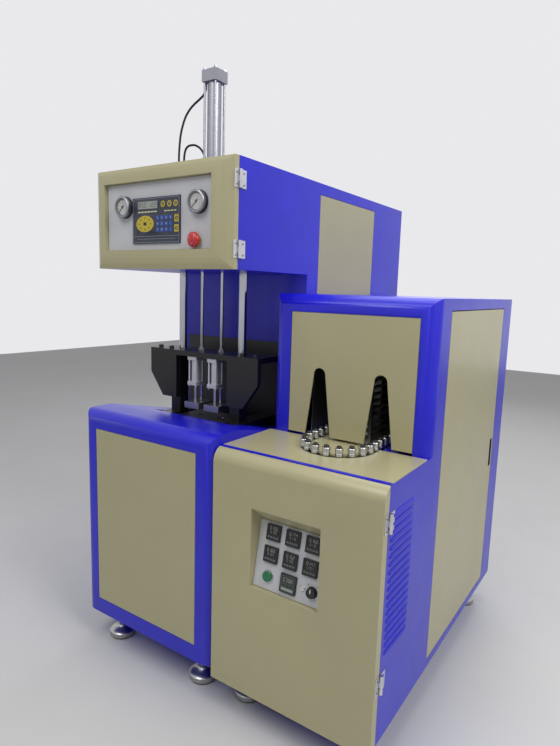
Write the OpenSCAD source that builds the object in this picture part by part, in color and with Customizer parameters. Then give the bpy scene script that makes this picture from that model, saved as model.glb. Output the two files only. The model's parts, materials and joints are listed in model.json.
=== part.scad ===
// Two cavity stretch blow moulding machine: a blower with a stretch cylinder on
// its head, and a preform oven that stands against its right side.
// The blower's left side is at X = 0 and both fronts are at Y = 0 before the
// whole machine is moved to the middle of its floor area.

/* [Blower cabinet] */
// Width of the blower
blower_w = 628; // [600:1:700]
// Depth of the blower
blower_d = 1370; // [1250:1:1500]
// Height of the cabinets' underside above the floor
floor_gap = 120; // [100:1:150]
// Height of the front ledge above the floor
ledge_z = 896; // [880:1:920]
// Depth of the level front ledge
ledge_d = 125; // [100:1:150]
// Height of the sloping deck where it meets the column
deck_back_z = 815; // [790:1:840]
// Radius of the rounded front edges of the blower
blower_round = 45; // [25:1:55]
// Sheet thickness of the cabinets
sheet = 3; // [2:0.5:4]
// Width of the blower's front panel
base_panel_w = 482; // [400:1:500]
// Height of the blower's front panel
base_panel_h = 654; // [560:1:665]

/* [Blower head] */
// Distance from the front to the column
column_y = 511; // [500:1:560]
// Distance from the front to the head's open front
head_y = 103; // [90:1:130]
// Height of the head's underside above the floor
head_bottom_z = 1405; // [1390:1:1430]
// Height of the head's top above the floor
head_top_z = 1741; // [1735:1:1790]
// Thickness of the head door
head_door_t = 27; // [20:1:40]
// Width of the recess in the head door
head_recess_w = 496; // [470:1:520]
// Height of the recess in the head door
head_recess_h = 226; // [205:1:240]
// Depth of the recess in the head door
head_recess_d = 18; // [10:1:22]
// Width of the column's side panel
column_panel_w = 470; // [380:1:560]

/* [Stretch drive] */
// Distance between the two cavities
cavity_pitch = 98; // [96:1:110]
// Distance from the front to the cavity axes
cavity_y = 348; // [340:1:356]
// Travel of the stretch rods
stretch_stroke = 260; // [200:1:262]
// Diameter of a stretch rod
stretch_rod_d = 12; // [8:0.5:14]
// Diameter of a guide column
column_d = 30; // [20:1:34]
// Distance between the two guide columns
column_pitch = 294; // [280:1:310]
// Side of the stretch cylinder's square end caps
stretch_cap = 65; // [60:1:75]
// Outer diameter of the stretch cylinder's barrel
stretch_barrel_d = 50; // [46:1:52]
// Height of the stretch cylinder over its two caps
stretch_cyl_h = 366; // [350:1:420]

/* [Press] */
// Height of the press bed's top above the floor
bed_z = 862; // [850:1:875]
// Thickness of the press bed
bed_t = 50; // [48:1:60]
// Width of the press top plate
press_w = 528; // [500:1:560]
// Height of the press top plate's upper face
press_top_z = 1108; // [1095:1:1130]
// Thickness of the press top plate
press_plate_t = 20; // [15:1:25]
// Side of the sealing cylinders' square end caps
seal_cap = 44; // [40:1:46]
// Length of a sealing cylinder
seal_len = 110; // [90:1:115]
// Travel of a sealing nozzle
seal_stroke = 22; // [10:1:24]
// Opening travel of the mould clamp
clamp_stroke = 60; // [40:1:65]

/* [Oven] */
// Gap between the blower and the oven
unit_gap = 0; // [0:1:20]
// Width of the oven
oven_w = 566; // [550:1:620]
// Depth of the oven's cabinet
oven_d = 1242; // [1200:1:1320]
// Height of the oven's top above the floor
oven_top_z = 1337; // [1325:1:1400]
// Height of the table above the floor
table_z = 864; // [855:1:880]
// Distance from the front to the upper oven's face
oven_face_y = 302; // [295:1:320]
// Radius of the rounded edges of the upper oven
oven_round = 50; // [30:1:56]
// Thickness of the oven's front door
oven_door_t = 30; // [24:1:40]
// Radius of the front door's rolled top edge
door_roll = 45; // [30:1:60]
// Width of the upper oven's front panel
oven_panel_w = 440; // [420:1:450]
// Height of the upper oven's front panel
oven_panel_h = 402; // [390:1:406]
// Width of the oven's side door
side_door_w = 676; // [600:1:700]
// Height of the oven's side door
side_door_h = 1148; // [1100:1:1160]

/* [Preform chain] */
// Distance between the two straight runs of the chain
run_pitch = 215; // [205:1:225]
// Pitch of the chain's preform holders
holder_pitch = 38; // [36:0.5:40]
// Number of preform holders on the chain
holder_count = 60; // [56:2:62]
// Outer diameter of a preform holder
holder_d = 25; // [20:1:28]
// Height of the collar of a preform holder
holder_h = 24; // [18:1:30]
// Width of a tunnel at the table
tunnel_w = 98; // [90:1:110]
// Height of a tunnel above the table
tunnel_h = 236; // [200:1:250]

/* [Hidden] */

steel_blue = "royalblue";
door_beige = "tan";
pale_grey = "gainsboro";
bright = "silver";
dark = "#1c1c1e";
rubber_black = "#202020";

eps = 0.01;
round_fn = 48;
fine_fn = 24;
running = 0.3;
blower_x = blower_w / 2;
oven_x = blower_w + unit_gap;
ring_shift = 13;
ring_x = oven_x + oven_w / 2 + ring_shift;
oven_right = oven_x + oven_w;
hinge_out = 12;
mid_x = (oven_right + hinge_out) / 2;
mid_y = blower_d / 2;

// Moves the machine from its front left corner to the middle of its floor area
module place() {
    translate([-mid_x, -mid_y, 0]) children();
}

// Turns an outline drawn in Y and Z into a solid that runs along X
module along_x(from, to) {
    translate([from, 0, 0]) rotate([90, 0, 90]) linear_extrude(to - from) children();
}

// Turns an outline drawn in X and Z into a solid that runs back along Y
module along_y(from, to) {
    translate([0, to, 0]) rotate([90, 0, 0]) linear_extrude(to - from) children();
}

// A box given by its lowest and highest corners
module span(low, high) {
    translate(low) cube(high - low);
}

// A round bar that stands on a point
module post(x, y, z, d, h, fn = 32) {
    translate([x, y, z]) cylinder(d = d, h = h, $fn = fn);
}

// A round bar that lies along Y from a point
module bar_y(x, y, z, d, l, fn = 32) {
    translate([x, y, z]) rotate([-90, 0, 0]) cylinder(d = d, h = l, $fn = fn);
}

// A round bar that lies along X from a point
module bar_x(x, y, z, d, l, fn = 32) {
    translate([x, y, z]) rotate([0, 90, 0]) cylinder(d = d, h = l, $fn = fn);
}

// An upright outline with its two front corners rounded
module round_front(x0, x1, y0, y1, r) {
    translate([x0 + r, y0]) square([x1 - x0 - 2 * r, y1 - y0]);
    translate([x0, y0 + r]) square([x1 - x0, y1 - y0 - r]);
    for (x = [x0 + r, x1 - r]) translate([x, y0 + r]) circle(r, $fn = round_fn);
}

// The blower base seen from its side, drawn smaller by the sheet's thickness
module base_side(t) {
    r = blower_round;
    translate([r, ledge_z - r]) circle(r - t, $fn = round_fn);
    polygon([[t, floor_gap + t], [t, ledge_z - r], [r, ledge_z - t], [ledge_d, ledge_z - t],
        [column_y, deck_back_z - t], [blower_d - t, deck_back_z - t],
        [blower_d - t, floor_gap + t]]);
}

module base_body(t) {
    intersection() {
        along_x(t, blower_w - t) base_side(t);
        linear_extrude(head_top_z) round_front(t, blower_w - t, t, blower_d - t, blower_round - t);
    }
}

panel_gap = 1.5;
panel_flange = 12;
base_panel_z = ledge_z - blower_round - 19 - base_panel_h;
bed_w = 380;
bed_front = 108;
bed_x0 = blower_x - bed_w / 2;
bed_x1 = blower_x + bed_w / 2;
bed_y0 = cavity_y - bed_front;
bed_y1 = column_y - 5;

// A flush panel with a hidden flange behind the opening that it fills, facing -Y
module flush_panel_y(x0, z0, w, h, face) {
    span([x0, face, z0], [x0 + w, face + sheet, z0 + h]);
    span([x0 - panel_flange, face + sheet, z0 - panel_flange],
        [x0 + w + panel_flange, face + 2 * sheet, z0 + h + panel_flange]);
}

module base_cabinet() {
    color(steel_blue) place() {
        difference() {
            base_body(0);
            base_body(sheet);
            span([blower_x - base_panel_w / 2 - panel_gap, -1, base_panel_z - panel_gap],
                [blower_x + base_panel_w / 2 + panel_gap, sheet + 1,
                 base_panel_z + base_panel_h + panel_gap]);
            span([bed_x0 - panel_gap, bed_y0 - panel_gap, bed_z - bed_t],
                [bed_x1 + panel_gap, bed_y1 + panel_gap, ledge_z + 1]);
            rear_opening(0, blower_w, blower_d, rear_panel_z0, rear_panel_z1);
        }
        // Rails that carry the press bed
        for (x = [sheet - eps, bed_x1 - 30])
            span([x, bed_y0 - 15, bed_z - bed_t - 50],
                [x + bed_x0 + 30 - sheet, bed_y0 + 25, bed_z - bed_t]);
        for (x = [sheet - eps, bed_x1 - 30])
            span([x, bed_y1 - 36, bed_z - bed_t - 50],
                [x + bed_x0 + 30 - sheet, bed_y1 + 4, bed_z - bed_t]);
    }
}

rear_inset = 70;
rear_panel_z0 = floor_gap + 80;
rear_panel_z1 = deck_back_z - 60;
column_panel_z0 = 1100;
column_panel_z1 = head_top_z - 42;
column_panel_y0 = column_y + 79;
column_rear_z0 = deck_back_z + 80;
column_rear_z1 = head_top_z - 80;
oven_rear_z1 = oven_top_z - 90;

module base_front_panel() {
    color(door_beige) place()
        flush_panel_y(blower_x - base_panel_w / 2, base_panel_z, base_panel_w, base_panel_h, 0);
}

// A rear panel in its opening, with a second sheet behind that laps over the edge
module rear_cover(x0, x1, y, z0, z1) {
    span([x0 + rear_inset, y - sheet, z0], [x1 - rear_inset, y, z1]);
    span([x0 + rear_inset - panel_flange, y - 2 * sheet, z0 - panel_flange],
        [x1 - rear_inset + panel_flange, y - sheet, z1 + panel_flange]);
}

// The opening in a back wall that such a panel fills
module rear_opening(x0, x1, y, z0, z1) {
    span([x0 + rear_inset - panel_gap, y - sheet - 1, z0 - panel_gap],
        [x1 - rear_inset + panel_gap, y + 1, z1 + panel_gap]);
}

module rear_panels() {
    color(door_beige) place() {
        rear_cover(0, blower_w, blower_d, rear_panel_z0, rear_panel_z1);
        rear_cover(0, blower_w, blower_d, column_rear_z0, column_rear_z1);
        rear_cover(oven_x, oven_right, oven_d, rear_panel_z0, oven_rear_z1);
    }
}

crosshead_t = 30;
crosshead_top = head_top_z - sheet - 8;
rod_bore = 0.5;

module upper_housing() {
    color(steel_blue) place() difference() {
        union() {
            span([0, column_y, deck_back_z], [blower_w, blower_d, head_top_z]);
            span([0, head_y, head_bottom_z], [blower_w, column_y + 1, head_top_z]);
        }
        span([sheet, column_y + sheet, deck_back_z - 1],
            [blower_w - sheet, blower_d - sheet, head_top_z - sheet]);
        span([sheet, head_y - 1, head_bottom_z + sheet],
            [blower_w - sheet, column_y + sheet + 1, head_top_z - sheet]);
        span([blower_w - sheet - 1, column_panel_y0 - panel_gap, column_panel_z0 - panel_gap],
            [blower_w + 1, column_panel_y0 + column_panel_w + panel_gap,
             column_panel_z1 + panel_gap]);
        rear_opening(0, blower_w, blower_d, column_rear_z0, column_rear_z1);
        post(blower_x, cavity_y, head_top_z - sheet - 1, 30, sheet + 2);
        for (s = [-1, 1]) {
            post(blower_x + s * column_pitch / 2, cavity_y, head_bottom_z - 1, column_d, sheet + 2);
            post(blower_x + s * cavity_pitch / 2, cavity_y, head_bottom_z - 1,
                stretch_rod_d + 2 * rod_bore, sheet + 2);
        }
    }
}

module column_side_panel() {
    y1 = column_panel_y0 + column_panel_w;
    color(door_beige) place() {
        span([blower_w - sheet, column_panel_y0, column_panel_z0], [blower_w, y1, column_panel_z1]);
        span([blower_w - 2 * sheet, column_panel_y0 - panel_flange, column_panel_z0 - panel_flange],
            [blower_w - sheet, y1 + panel_flange, column_panel_z1 + panel_flange]);
    }
}

foot_inset = 105;
oven_foot_inset = 75;
foot_places = [
    [foot_inset, foot_inset - 20], [blower_w - foot_inset, foot_inset - 20],
    [foot_inset, blower_d - foot_inset], [blower_w - foot_inset, blower_d - foot_inset],
    [oven_x + oven_foot_inset, 110], [oven_right - oven_foot_inset, 110],
    [oven_x + oven_foot_inset, oven_d - foot_inset],
    [oven_right - oven_foot_inset, oven_d - foot_inset]];
pad_h = 12;
pad_d = 90;
cup_d = 98;
cup_h = 26;
stud_d = 16;

module foot_pads() {
    color(rubber_black) place() for (p = foot_places)
        post(p[0], p[1], 0, pad_d, pad_h, round_fn);
}

// Turned levelling feet: a straight skirt under a shallow cone, a collar and the stud
module foot_cups() {
    color(bright) place() for (p = foot_places) translate([p[0], p[1], 0])
        rotate_extrude($fn = round_fn) polygon([[0, pad_h], [pad_d / 2, pad_h],
            [pad_d / 2, pad_h - 6], [cup_d / 2, pad_h - 6], [cup_d / 2, cup_h - 4],
            [cup_d / 2 - 4, cup_h], [22, cup_h + 10], [16, cup_h + 18], [stud_d / 2, cup_h + 18],
            [stud_d / 2, floor_gap], [0, floor_gap]]);
}

module foot_nuts() {
    color("dimgray") place() for (p = foot_places) for (z = [cup_h + 18, floor_gap - 13]) difference() {
        post(p[0], p[1], z, 28, 13, 6);
        post(p[0], p[1], z - 1, stud_d, 15, round_fn);
    }
}

door_x0 = 0;
door_x1 = blower_w;
door_y = head_y - head_door_t;
recess_x0 = 44;
recess_z0 = head_bottom_z + 62;
head_drop = 9;
recess_lip = 5;

// One layer of the door's front, from its outer edge (0) to the lip round the recess (1)
module door_layer(t) {
    x1 = recess_x0 + head_recess_w + recess_lip;
    z1 = recess_z0 + head_recess_h + recess_lip;
    span([door_x0 + t * (recess_x0 - recess_lip - door_x0), door_y + head_drop * pow(1 - t, 2),
            head_bottom_z + t * (recess_z0 - recess_lip - head_bottom_z)],
        [door_x1 + t * (x1 - door_x1), head_y - running, head_top_z + t * (z1 - head_top_z)]);
}

// The head door is a pressed tray whose mitred sides rise to the instrument recess
module head_door() {
    x1 = recess_x0 + head_recess_w;
    z1 = recess_z0 + head_recess_h;
    color(door_beige) place() difference() {
        union() {
            difference() {
                hull() for (t = [0, 0.3, 0.6, 1]) door_layer(t);
                span([door_x0 + sheet, door_y + head_drop + sheet, head_bottom_z + sheet],
                    [door_x1 - sheet, head_y, head_top_z - sheet]);
            }
            span([recess_x0 - sheet, door_y + 1, recess_z0 - sheet],
                [x1 + sheet, door_y + head_recess_d + sheet, z1 + sheet]);
        }
        span([recess_x0, door_y - 1, recess_z0], [x1, door_y + head_recess_d, z1]);
        bar_y(stop_x, door_y, stop_z, stop_bore, head_door_t);
    }
}

plate_t = 2;
plate_y = door_y + head_recess_d - plate_t;
gauge_d = 72;
gauge_t = 24;
gauge_z = head_bottom_z + 208;
left_gauge_x = 139;
right_gauge_x = 480;
panel_x0 = 177;
panel_x1 = 400;
panel_z0 = head_bottom_z + 84;
panel_z1 = head_bottom_z + 235;
stop_x = 467;
stop_z = head_bottom_z + 92;

module instrument_plate() {
    color(pale_grey) place() difference() {
        span([recess_x0 + 2, plate_y, recess_z0 + 2],
            [recess_x0 + head_recess_w - 2, plate_y + plate_t, recess_z0 + head_recess_h - 2]);
        bar_y(stop_x, plate_y - 1, stop_z, stop_bore, plate_t + 2);
    }
}

// A gauge case: a stepped bezel round a shallow dial with the needle's pin
module gauge_case(x) {
    translate([x, plate_y, gauge_z]) rotate([90, 0, 0]) rotate_extrude($fn = round_fn)
        polygon([[0, 0], [gauge_d / 2 - 3, 0], [gauge_d / 2 - 3, gauge_t - 14],
            [gauge_d / 2, gauge_t - 12], [gauge_d / 2, gauge_t - 3], [gauge_d / 2 - 3, gauge_t],
            [gauge_d / 2 - 7, gauge_t], [gauge_d / 2 - 7, gauge_t - 8], [needle_pin_d / 2, gauge_t - 8],
            [needle_pin_d / 2, gauge_t - 3], [0, gauge_t - 3]]);
}

module gauge_cases() {
    color(bright) place() {
        gauge_case(left_gauge_x);
        gauge_case(right_gauge_x);
    }
}

needle_len = 24;
needle_pin_d = 2;
dial_y = plate_y - gauge_t + 8;

// A needle with its boss, resting just above the dial and pointing at zero
module needle(x, angle) {
    translate([x, dial_y - running, gauge_z]) rotate([0, angle, 0]) difference() {
        union() {
            rotate([90, 0, 0]) cylinder(d = 8, h = 3, $fn = fine_fn);
            translate([-1, -2, 0]) cube([2, 1, needle_len]);
            translate([-1.5, -2, -9]) cube([3, 1, 9]);
        }
        translate([0, 1, 0]) rotate([90, 0, 0]) cylinder(d = needle_pin_d + 0.1, h = 6, $fn = fine_fn);
    }
}

module left_needle() {
    color("black") place() needle(left_gauge_x, -135);
}

module right_needle() {
    color("black") place() needle(right_gauge_x, -135);
}

panel_t = 5;
key_t = 1;
window_size = [96, 26];
window_at = [27, 113];
round_key_d = 21;
round_key_at = [[147, 126], [177, 126], [205, 126]];
pad_size = [86, 56];
pad_at = [62, 65];
key_size = [17, 15];
key_pitch = [20, 19];
key_at = [114, 37];
square_size = [20, 24];
square_at = [[199, 35], [199, 67]];

// A raised field of the panel given by its corner and size
module field(at, size) {
    span([panel_x0 + at[0], plate_y - panel_t - key_t, panel_z0 + at[1]],
        [panel_x0 + at[0] + size[0], plate_y - panel_t + eps, panel_z0 + at[1] + size[1]]);
}

// A membrane panel: display window, round keys, an oval pad, a block of keys and two squares
module control_panel() {
    color("midnightblue") place() {
        span([panel_x0, plate_y - panel_t, panel_z0], [panel_x1, plate_y, panel_z1]);
        field(window_at, window_size);
        for (k = round_key_at)
            bar_y(panel_x0 + k[0], plate_y - panel_t - key_t, panel_z0 + k[1], round_key_d,
                key_t + eps, fine_fn);
        translate([panel_x0 + pad_at[0], plate_y - panel_t - key_t, panel_z0 + pad_at[1]])
            scale([pad_size[0], 1, pad_size[1]]) bar_y(0, 0, 0, 1, key_t + eps, round_fn);
        for (i = [0:3]) for (j = [0:2])
            field([key_at[0] + i * key_pitch[0], key_at[1] + j * key_pitch[1]], key_size);
        for (k = square_at) field(k, square_size);
    }
}

stop_travel = 5;
stop_d = 48;
stop_bore = 16;

// A mushroom stop button: a domed cap on a stem, with a collar on the plate
module stop_button() {
    cap_y = plate_y - stop_travel - 3;
    color("crimson") place() {
        translate([stop_x, cap_y, stop_z]) rotate([90, 0, 0]) rotate_extrude($fn = round_fn)
            polygon([[0, 0], [stop_d / 2 - 2, 0], [stop_d / 2, 3], [stop_d / 2 - 1, 10],
                [stop_d / 2 - 6, 15], [stop_d / 2 - 13, 17], [0, 18]]);
        bar_y(stop_x, cap_y - 1, stop_z, 15, stop_travel + 12);
    }
}

hinge_len = 54;
hinge_z = [head_bottom_z + 61, head_bottom_z + 268];
leaf_t = 3;
leaf_w = 26;
knuckle_r = 5.7;
hinge_pin_d = 6;
pin_off = hinge_out - knuckle_r;

// The fixed half of a side hinge: a leaf behind the pin with two knuckles and the pin
module hinge_fixed(x, y, z) {
    third = hinge_len / 3;
    span([x, y + knuckle_r + 1, z - hinge_len / 2], [x + leaf_t, y + knuckle_r + leaf_w, z + hinge_len / 2]);
    for (s = [-1, 1]) {
        post(x + pin_off, y, z + s * third - third / 2, 2 * knuckle_r, third, fine_fn);
        span([x + running, y, z + s * third - third / 2],
            [x + leaf_t, y + knuckle_r + 1 + eps, z + s * third + third / 2]);
    }
    post(x + pin_off, y, z - hinge_len / 2, hinge_pin_d, hinge_len, fine_fn);
}

// The door half: a leaf in front of the pin with the middle knuckle, bored for the pin
module hinge_moving(x, y, z, reach) {
    half = hinge_len / 6 - running;
    difference() {
        union() {
            span([x, y - reach, z - hinge_len / 2], [x + leaf_t, y - knuckle_r - 1, z + hinge_len / 2]);
            span([x + running, y - knuckle_r - 1 - eps, z - half], [x + leaf_t, y, z + half]);
            post(x + pin_off, y, z - half, 2 * knuckle_r, 2 * half, fine_fn);
        }
        post(x + pin_off, y, z - half - 1, hinge_pin_d + 0.12, 2 * half + 2, fine_fn);
    }
}

module head_hinge_knuckles() {
    color(bright) place() for (z = hinge_z) hinge_moving(blower_w, head_y, z, head_door_t - 5);
}

cap_h = 40;
barrel_bore = stretch_barrel_d - 6;
stretch_top = head_top_z + stretch_cyl_h;

// Square end caps and the four tie rods that hold them, with hexagon nuts on top
module stretch_cylinder_caps() {
    h = stretch_cap / 2;
    color(bright) place() {
        difference() {
            for (z = [head_top_z, stretch_top - cap_h])
                span([blower_x - h, cavity_y - h, z], [blower_x + h, cavity_y + h, z + cap_h]);
            post(blower_x, cavity_y, head_top_z - 1, piston_rod_d + 2 * running, cap_h + 2);
        }
        for (x = [-1, 1]) for (y = [-1, 1])
            translate([blower_x + x * tie_off, cavity_y + y * tie_off, head_top_z + cap_h - eps]) {
                cylinder(d = tie_d, h = stretch_cyl_h - cap_h + 8, $fn = fine_fn);
                translate([0, 0, stretch_cyl_h - cap_h]) cylinder(d = 13, h = 6, $fn = 6);
            }
    }
}

tie_d = 8;
tie_off = stretch_cap / 2 - 8;
piston_rod_d = 20;

module stretch_cylinder_barrel() {
    color("lightgray") place() difference() {
        post(blower_x, cavity_y, head_top_z + cap_h, stretch_barrel_d, stretch_cyl_h - 2 * cap_h, round_fn);
        post(blower_x, cavity_y, head_top_z + cap_h - 1, barrel_bore,
            stretch_cyl_h - 2 * cap_h + 2, round_fn);
    }
}

piston_t = 14;
piston_top = stretch_top - cap_h - 2;

module stretch_piston() {
    color(bright) place() {
        post(blower_x, cavity_y, piston_top - piston_t, barrel_bore - 2 * running, piston_t, round_fn);
        post(blower_x, cavity_y, crosshead_top, piston_rod_d, piston_top - piston_t - crosshead_top);
    }
}

crosshead_half = column_pitch / 2 + 32;

module stretch_crosshead() {
    z = crosshead_top - crosshead_t;
    color("lightgray") place() difference() {
        span([blower_x - crosshead_half, cavity_y - crosshead_t, z],
            [blower_x + crosshead_half, cavity_y + crosshead_t, crosshead_top]);
        for (s = [-1, 1])
            post(blower_x + s * column_pitch / 2, cavity_y, z - 1, column_d + 2 * running, crosshead_t + 2);
    }
}

rod_tip_z = press_top_z - press_plate_t - seal_len - 90;

// Two stretch rods with lock nuts under the crosshead and rounded tips
module stretch_rods() {
    z1 = crosshead_top - crosshead_t;
    color(bright) place() for (s = [-1, 1]) translate([blower_x + s * cavity_pitch / 2, cavity_y, 0]) {
        translate([0, 0, rod_tip_z + stretch_rod_d / 2])
            cylinder(d = stretch_rod_d, h = z1 - rod_tip_z - stretch_rod_d / 2, $fn = 32);
        translate([0, 0, rod_tip_z + stretch_rod_d / 2]) rotate_extrude($fn = 32) intersection() {
            circle(stretch_rod_d / 2, $fn = 32);
            translate([0, -stretch_rod_d]) square([stretch_rod_d, stretch_rod_d]);
        }
        translate([0, 0, z1 - 10]) cylinder(d = 24, h = 10, $fn = 6);
    }
}

module guide_columns() {
    color(bright) place() for (s = [-1, 1])
        post(blower_x + s * column_pitch / 2, cavity_y, press_top_z, column_d,
            head_top_z - sheet - press_top_z);
}

post_side = 46;
top_front = 60;
top_back = 62;
top_y0 = cavity_y - top_front;
top_y1 = cavity_y + top_back;
plate_bottom = press_top_z - press_plate_t;

module press_bed() {
    color(dark) place() difference() {
        span([bed_x0, bed_y0, bed_z - bed_t], [bed_x1, bed_y1, bed_z]);
        span([mould_x0 - 6, cavity_y - 88, bed_z - bed_t - 1],
            [mould_x1 + 6, cavity_y + 90 + clamp_stroke, bed_z + 1]);
    }
}

module press_top_plate() {
    color(dark) place() difference() {
        span([blower_x - press_w / 2, top_y0, plate_bottom], [blower_x + press_w / 2, top_y1, press_top_z]);
        for (s = [-1, 1])
            post(blower_x + s * cavity_pitch / 2, cavity_y, plate_bottom - 1,
                stretch_rod_d + 2 * rod_bore, press_plate_t + 2);
    }
    color(dark) place() for (s = [-1, 1]) for (x = [press_w / 2 - 30, press_w / 2 - 88])
        post(blower_x + s * x, top_y0 + 26, press_top_z - eps, bolt_d, 11, fine_fn);
}

gusset_t = 20;
bolt_d = 18;
gusset_edge = 76;
gusset_h = 166;
gusset_cut = 66;
gusset_lap = 44;

// The two posts and the gussets beside them, whose lower outer corners are cut off
module press_posts() {
    x_out = press_w / 2;
    x_in = column_pitch / 2 + post_side / 2;
    color(dark) place() for (s = [-1, 1]) translate([blower_x, 0, 0]) along_y(top_y0, top_y0 + gusset_t)
        polygon([[s * x_out, plate_bottom], [s * x_out, plate_bottom - gusset_edge],
            [s * (x_out - gusset_cut), plate_bottom - gusset_h],
            [s * (x_in - gusset_lap), plate_bottom - gusset_h], [s * (x_in - gusset_lap), plate_bottom]]);
    color(dark) place() for (s = [-1, 1]) translate([blower_x + s * column_pitch / 2, cavity_y, bed_z])
        translate([-post_side / 2, top_y0 + gusset_t - eps - cavity_y, 0])
            cube([post_side, post_side, plate_bottom - bed_z]);
}

back_plate_t = 4;
back_plate_rise = 40;

module press_back_plate() {
    color(dark) place()
        span([blower_x - press_w / 2, column_y - back_plate_t, deck_back_z + back_plate_t],
            [blower_x + press_w / 2, column_y, press_top_z + back_plate_rise]);
}

module rod_glands() {
    color(bright) place() for (s = [-1, 1])
        translate([blower_x + s * cavity_pitch / 2, cavity_y, press_top_z])
        difference() {
            union() {
                cylinder(d = 26, h = 8, $fn = 6);
                cylinder(d = 18, h = 16, $fn = fine_fn);
            }
            translate([0, 0, -1]) cylinder(d = stretch_rod_d + 2 * rod_bore, h = 20, $fn = 32);
        }
}

seal_y = cavity_y - 33;
seal_cap_h = 14;
seal_top = plate_bottom;
seal_rod_d = 12;
nozzle_top = seal_top - seal_len - 66;
nozzle_t = 24;
air_gap = 4;

// A small tie rod cylinder that hangs under the press top plate
module seal_cylinder(x) {
    h = seal_cap / 2;
    z0 = seal_top - seal_len;
    difference() {
        union() {
            for (z = [z0, seal_top - seal_cap_h])
                span([x - h, seal_y - h, z], [x + h, seal_y + h, z + seal_cap_h]);
            post(x, seal_y, z0 + 1, seal_cap * 0.72, seal_len - 2, round_fn);
            for (a = [-1, 1]) for (b = [-1, 1])
                post(x + a * (h - 5), seal_y + b * (h - 5), z0 - 5, 6, seal_len + 4, fine_fn);
        }
        post(x, seal_y, z0 - 1, seal_rod_d + 2 * running, seal_len - seal_cap_h);
    }
}

module seal_cylinders() {
    color("lightgray") place() for (s = [-1, 1]) seal_cylinder(blower_x + s * cavity_pitch / 2);
}

// The nozzle block with its piston rod; blowing air passes round the stretch rod
module nozzle(x) {
    difference() {
        union() {
            span([x - 36, seal_y - 24, nozzle_top - nozzle_t], [x + 36, cavity_y + 24, nozzle_top]);
            post(x, cavity_y, nozzle_top - nozzle_t - 8, 34, 9, fine_fn);
        }
        post(x, cavity_y, nozzle_top - nozzle_t - 10, stretch_rod_d + 2 * air_gap, nozzle_t + 20);
    }
    post(x, seal_y, nozzle_top - 1, seal_rod_d, seal_top - seal_cap_h - nozzle_top - 4);
}

module left_nozzle() {
    color("lightgray") place() nozzle(blower_x - cavity_pitch / 2);
}

module right_nozzle() {
    color("lightgray") place() nozzle(blower_x + cavity_pitch / 2);
}

mould_w = 236;
mould_x0 = blower_x - mould_w / 2;
mould_x1 = blower_x + mould_w / 2;
mould_t = 76;
mould_z0 = 480;
mould_z1 = bed_z - 6;
platen_t = 30;
platen_lap = 40;
platen_x0 = mould_x0 - platen_lap;
platen_x1 = mould_x1 + platen_lap;
clamp_z0 = mould_z0 - platen_lap;
bottle_r = 40;
neck_r = 13;

// A bottle outline turned about its axis, cut out of both mould halves
module bottle_space(x) {
    translate([x, cavity_y, 0]) rotate_extrude($fn = round_fn) polygon([[0, mould_z0 + 20],
        [bottle_r - 6, mould_z0 + 20], [bottle_r, mould_z0 + 28], [bottle_r, mould_z1 - 110],
        [bottle_r - 8, mould_z1 - 80], [neck_r, mould_z1 - 26], [neck_r, mould_z1 + 1], [0, mould_z1 + 1]]);
}

module mould_half(y0, y1) {
    difference() {
        span([mould_x0, y0, mould_z0], [mould_x1, y1, mould_z1]);
        for (s = [-1, 1]) bottle_space(blower_x + s * cavity_pitch / 2);
    }
}

module front_mould_half() {
    color("lightgray") place() mould_half(cavity_y - mould_t, cavity_y - running / 2);
}

module rear_mould_half() {
    color("lightgray") place() mould_half(cavity_y + running / 2, cavity_y + mould_t);
}

front_platen_y = cavity_y - mould_t - platen_t;
rear_platen_y = cavity_y + mould_t;
clamp_room = 60;
clamp_back_y = rear_platen_y + platen_t + clamp_stroke + clamp_room;
tie_bar_d = 32;
tie_z = [mould_z0 - 14, mould_z1 - 90];
platen_z1 = bed_z - bed_t - 2;

module front_platen() {
    color(dark) place() difference() {
        span([platen_x0, front_platen_y, clamp_z0], [platen_x1, front_platen_y + platen_t, platen_z1]);
        tie_bar_holes(front_platen_y, tie_bar_d);
    }
}

module tie_bar_holes(y, d) {
    for (x = [platen_x0 + 20, platen_x1 - 20]) for (z = tie_z)
        bar_y(x, y - 1, z, d, platen_t + 2);
}

module rear_platen() {
    color(dark) place() difference() {
        span([platen_x0, rear_platen_y, clamp_z0], [platen_x1, rear_platen_y + platen_t, platen_z1]);
        tie_bar_holes(rear_platen_y, tie_bar_d + 2 * running);
    }
}

// Four bars in the front platen and the clamp's back plate, on two cross beams
module clamp_tie_bars() {
    color(bright) place() for (x = [platen_x0 + 20, platen_x1 - 20]) for (z = tie_z)
        bar_y(x, front_platen_y, z, tie_bar_d, clamp_back_y + platen_t - front_platen_y);
}

clamp_bore = 100;
clamp_z = (mould_z0 + mould_z1) / 2;

module clamp_cylinder() {
    back = clamp_back_y + platen_t;
    color("dimgray") place() difference() {
        union() {
            span([platen_x0, clamp_back_y, clamp_z0], [platen_x1, back, platen_z1]);
            bar_y(blower_x, back - 1, clamp_z, clamp_bore + 24, clamp_stroke + 80, round_fn);
            span([platen_x0, front_platen_y, clamp_z0 - 60], [platen_x0 + 40, back, clamp_z0]);
            span([platen_x1 - 40, front_platen_y, clamp_z0 - 60], [platen_x1, back, clamp_z0]);
            for (y = [front_platen_y, clamp_back_y - 20])
                span([sheet, y, clamp_z0 - 100], [blower_w - sheet, y + 50, clamp_z0 - 60]);
        }
        bar_y(blower_x, back, clamp_z, clamp_bore, clamp_stroke + 60, round_fn);
        bar_y(blower_x, clamp_back_y - 1, clamp_z, 40 + 2 * running, platen_t + 2);
        tie_bar_holes(clamp_back_y, tie_bar_d);
    }
}

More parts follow.
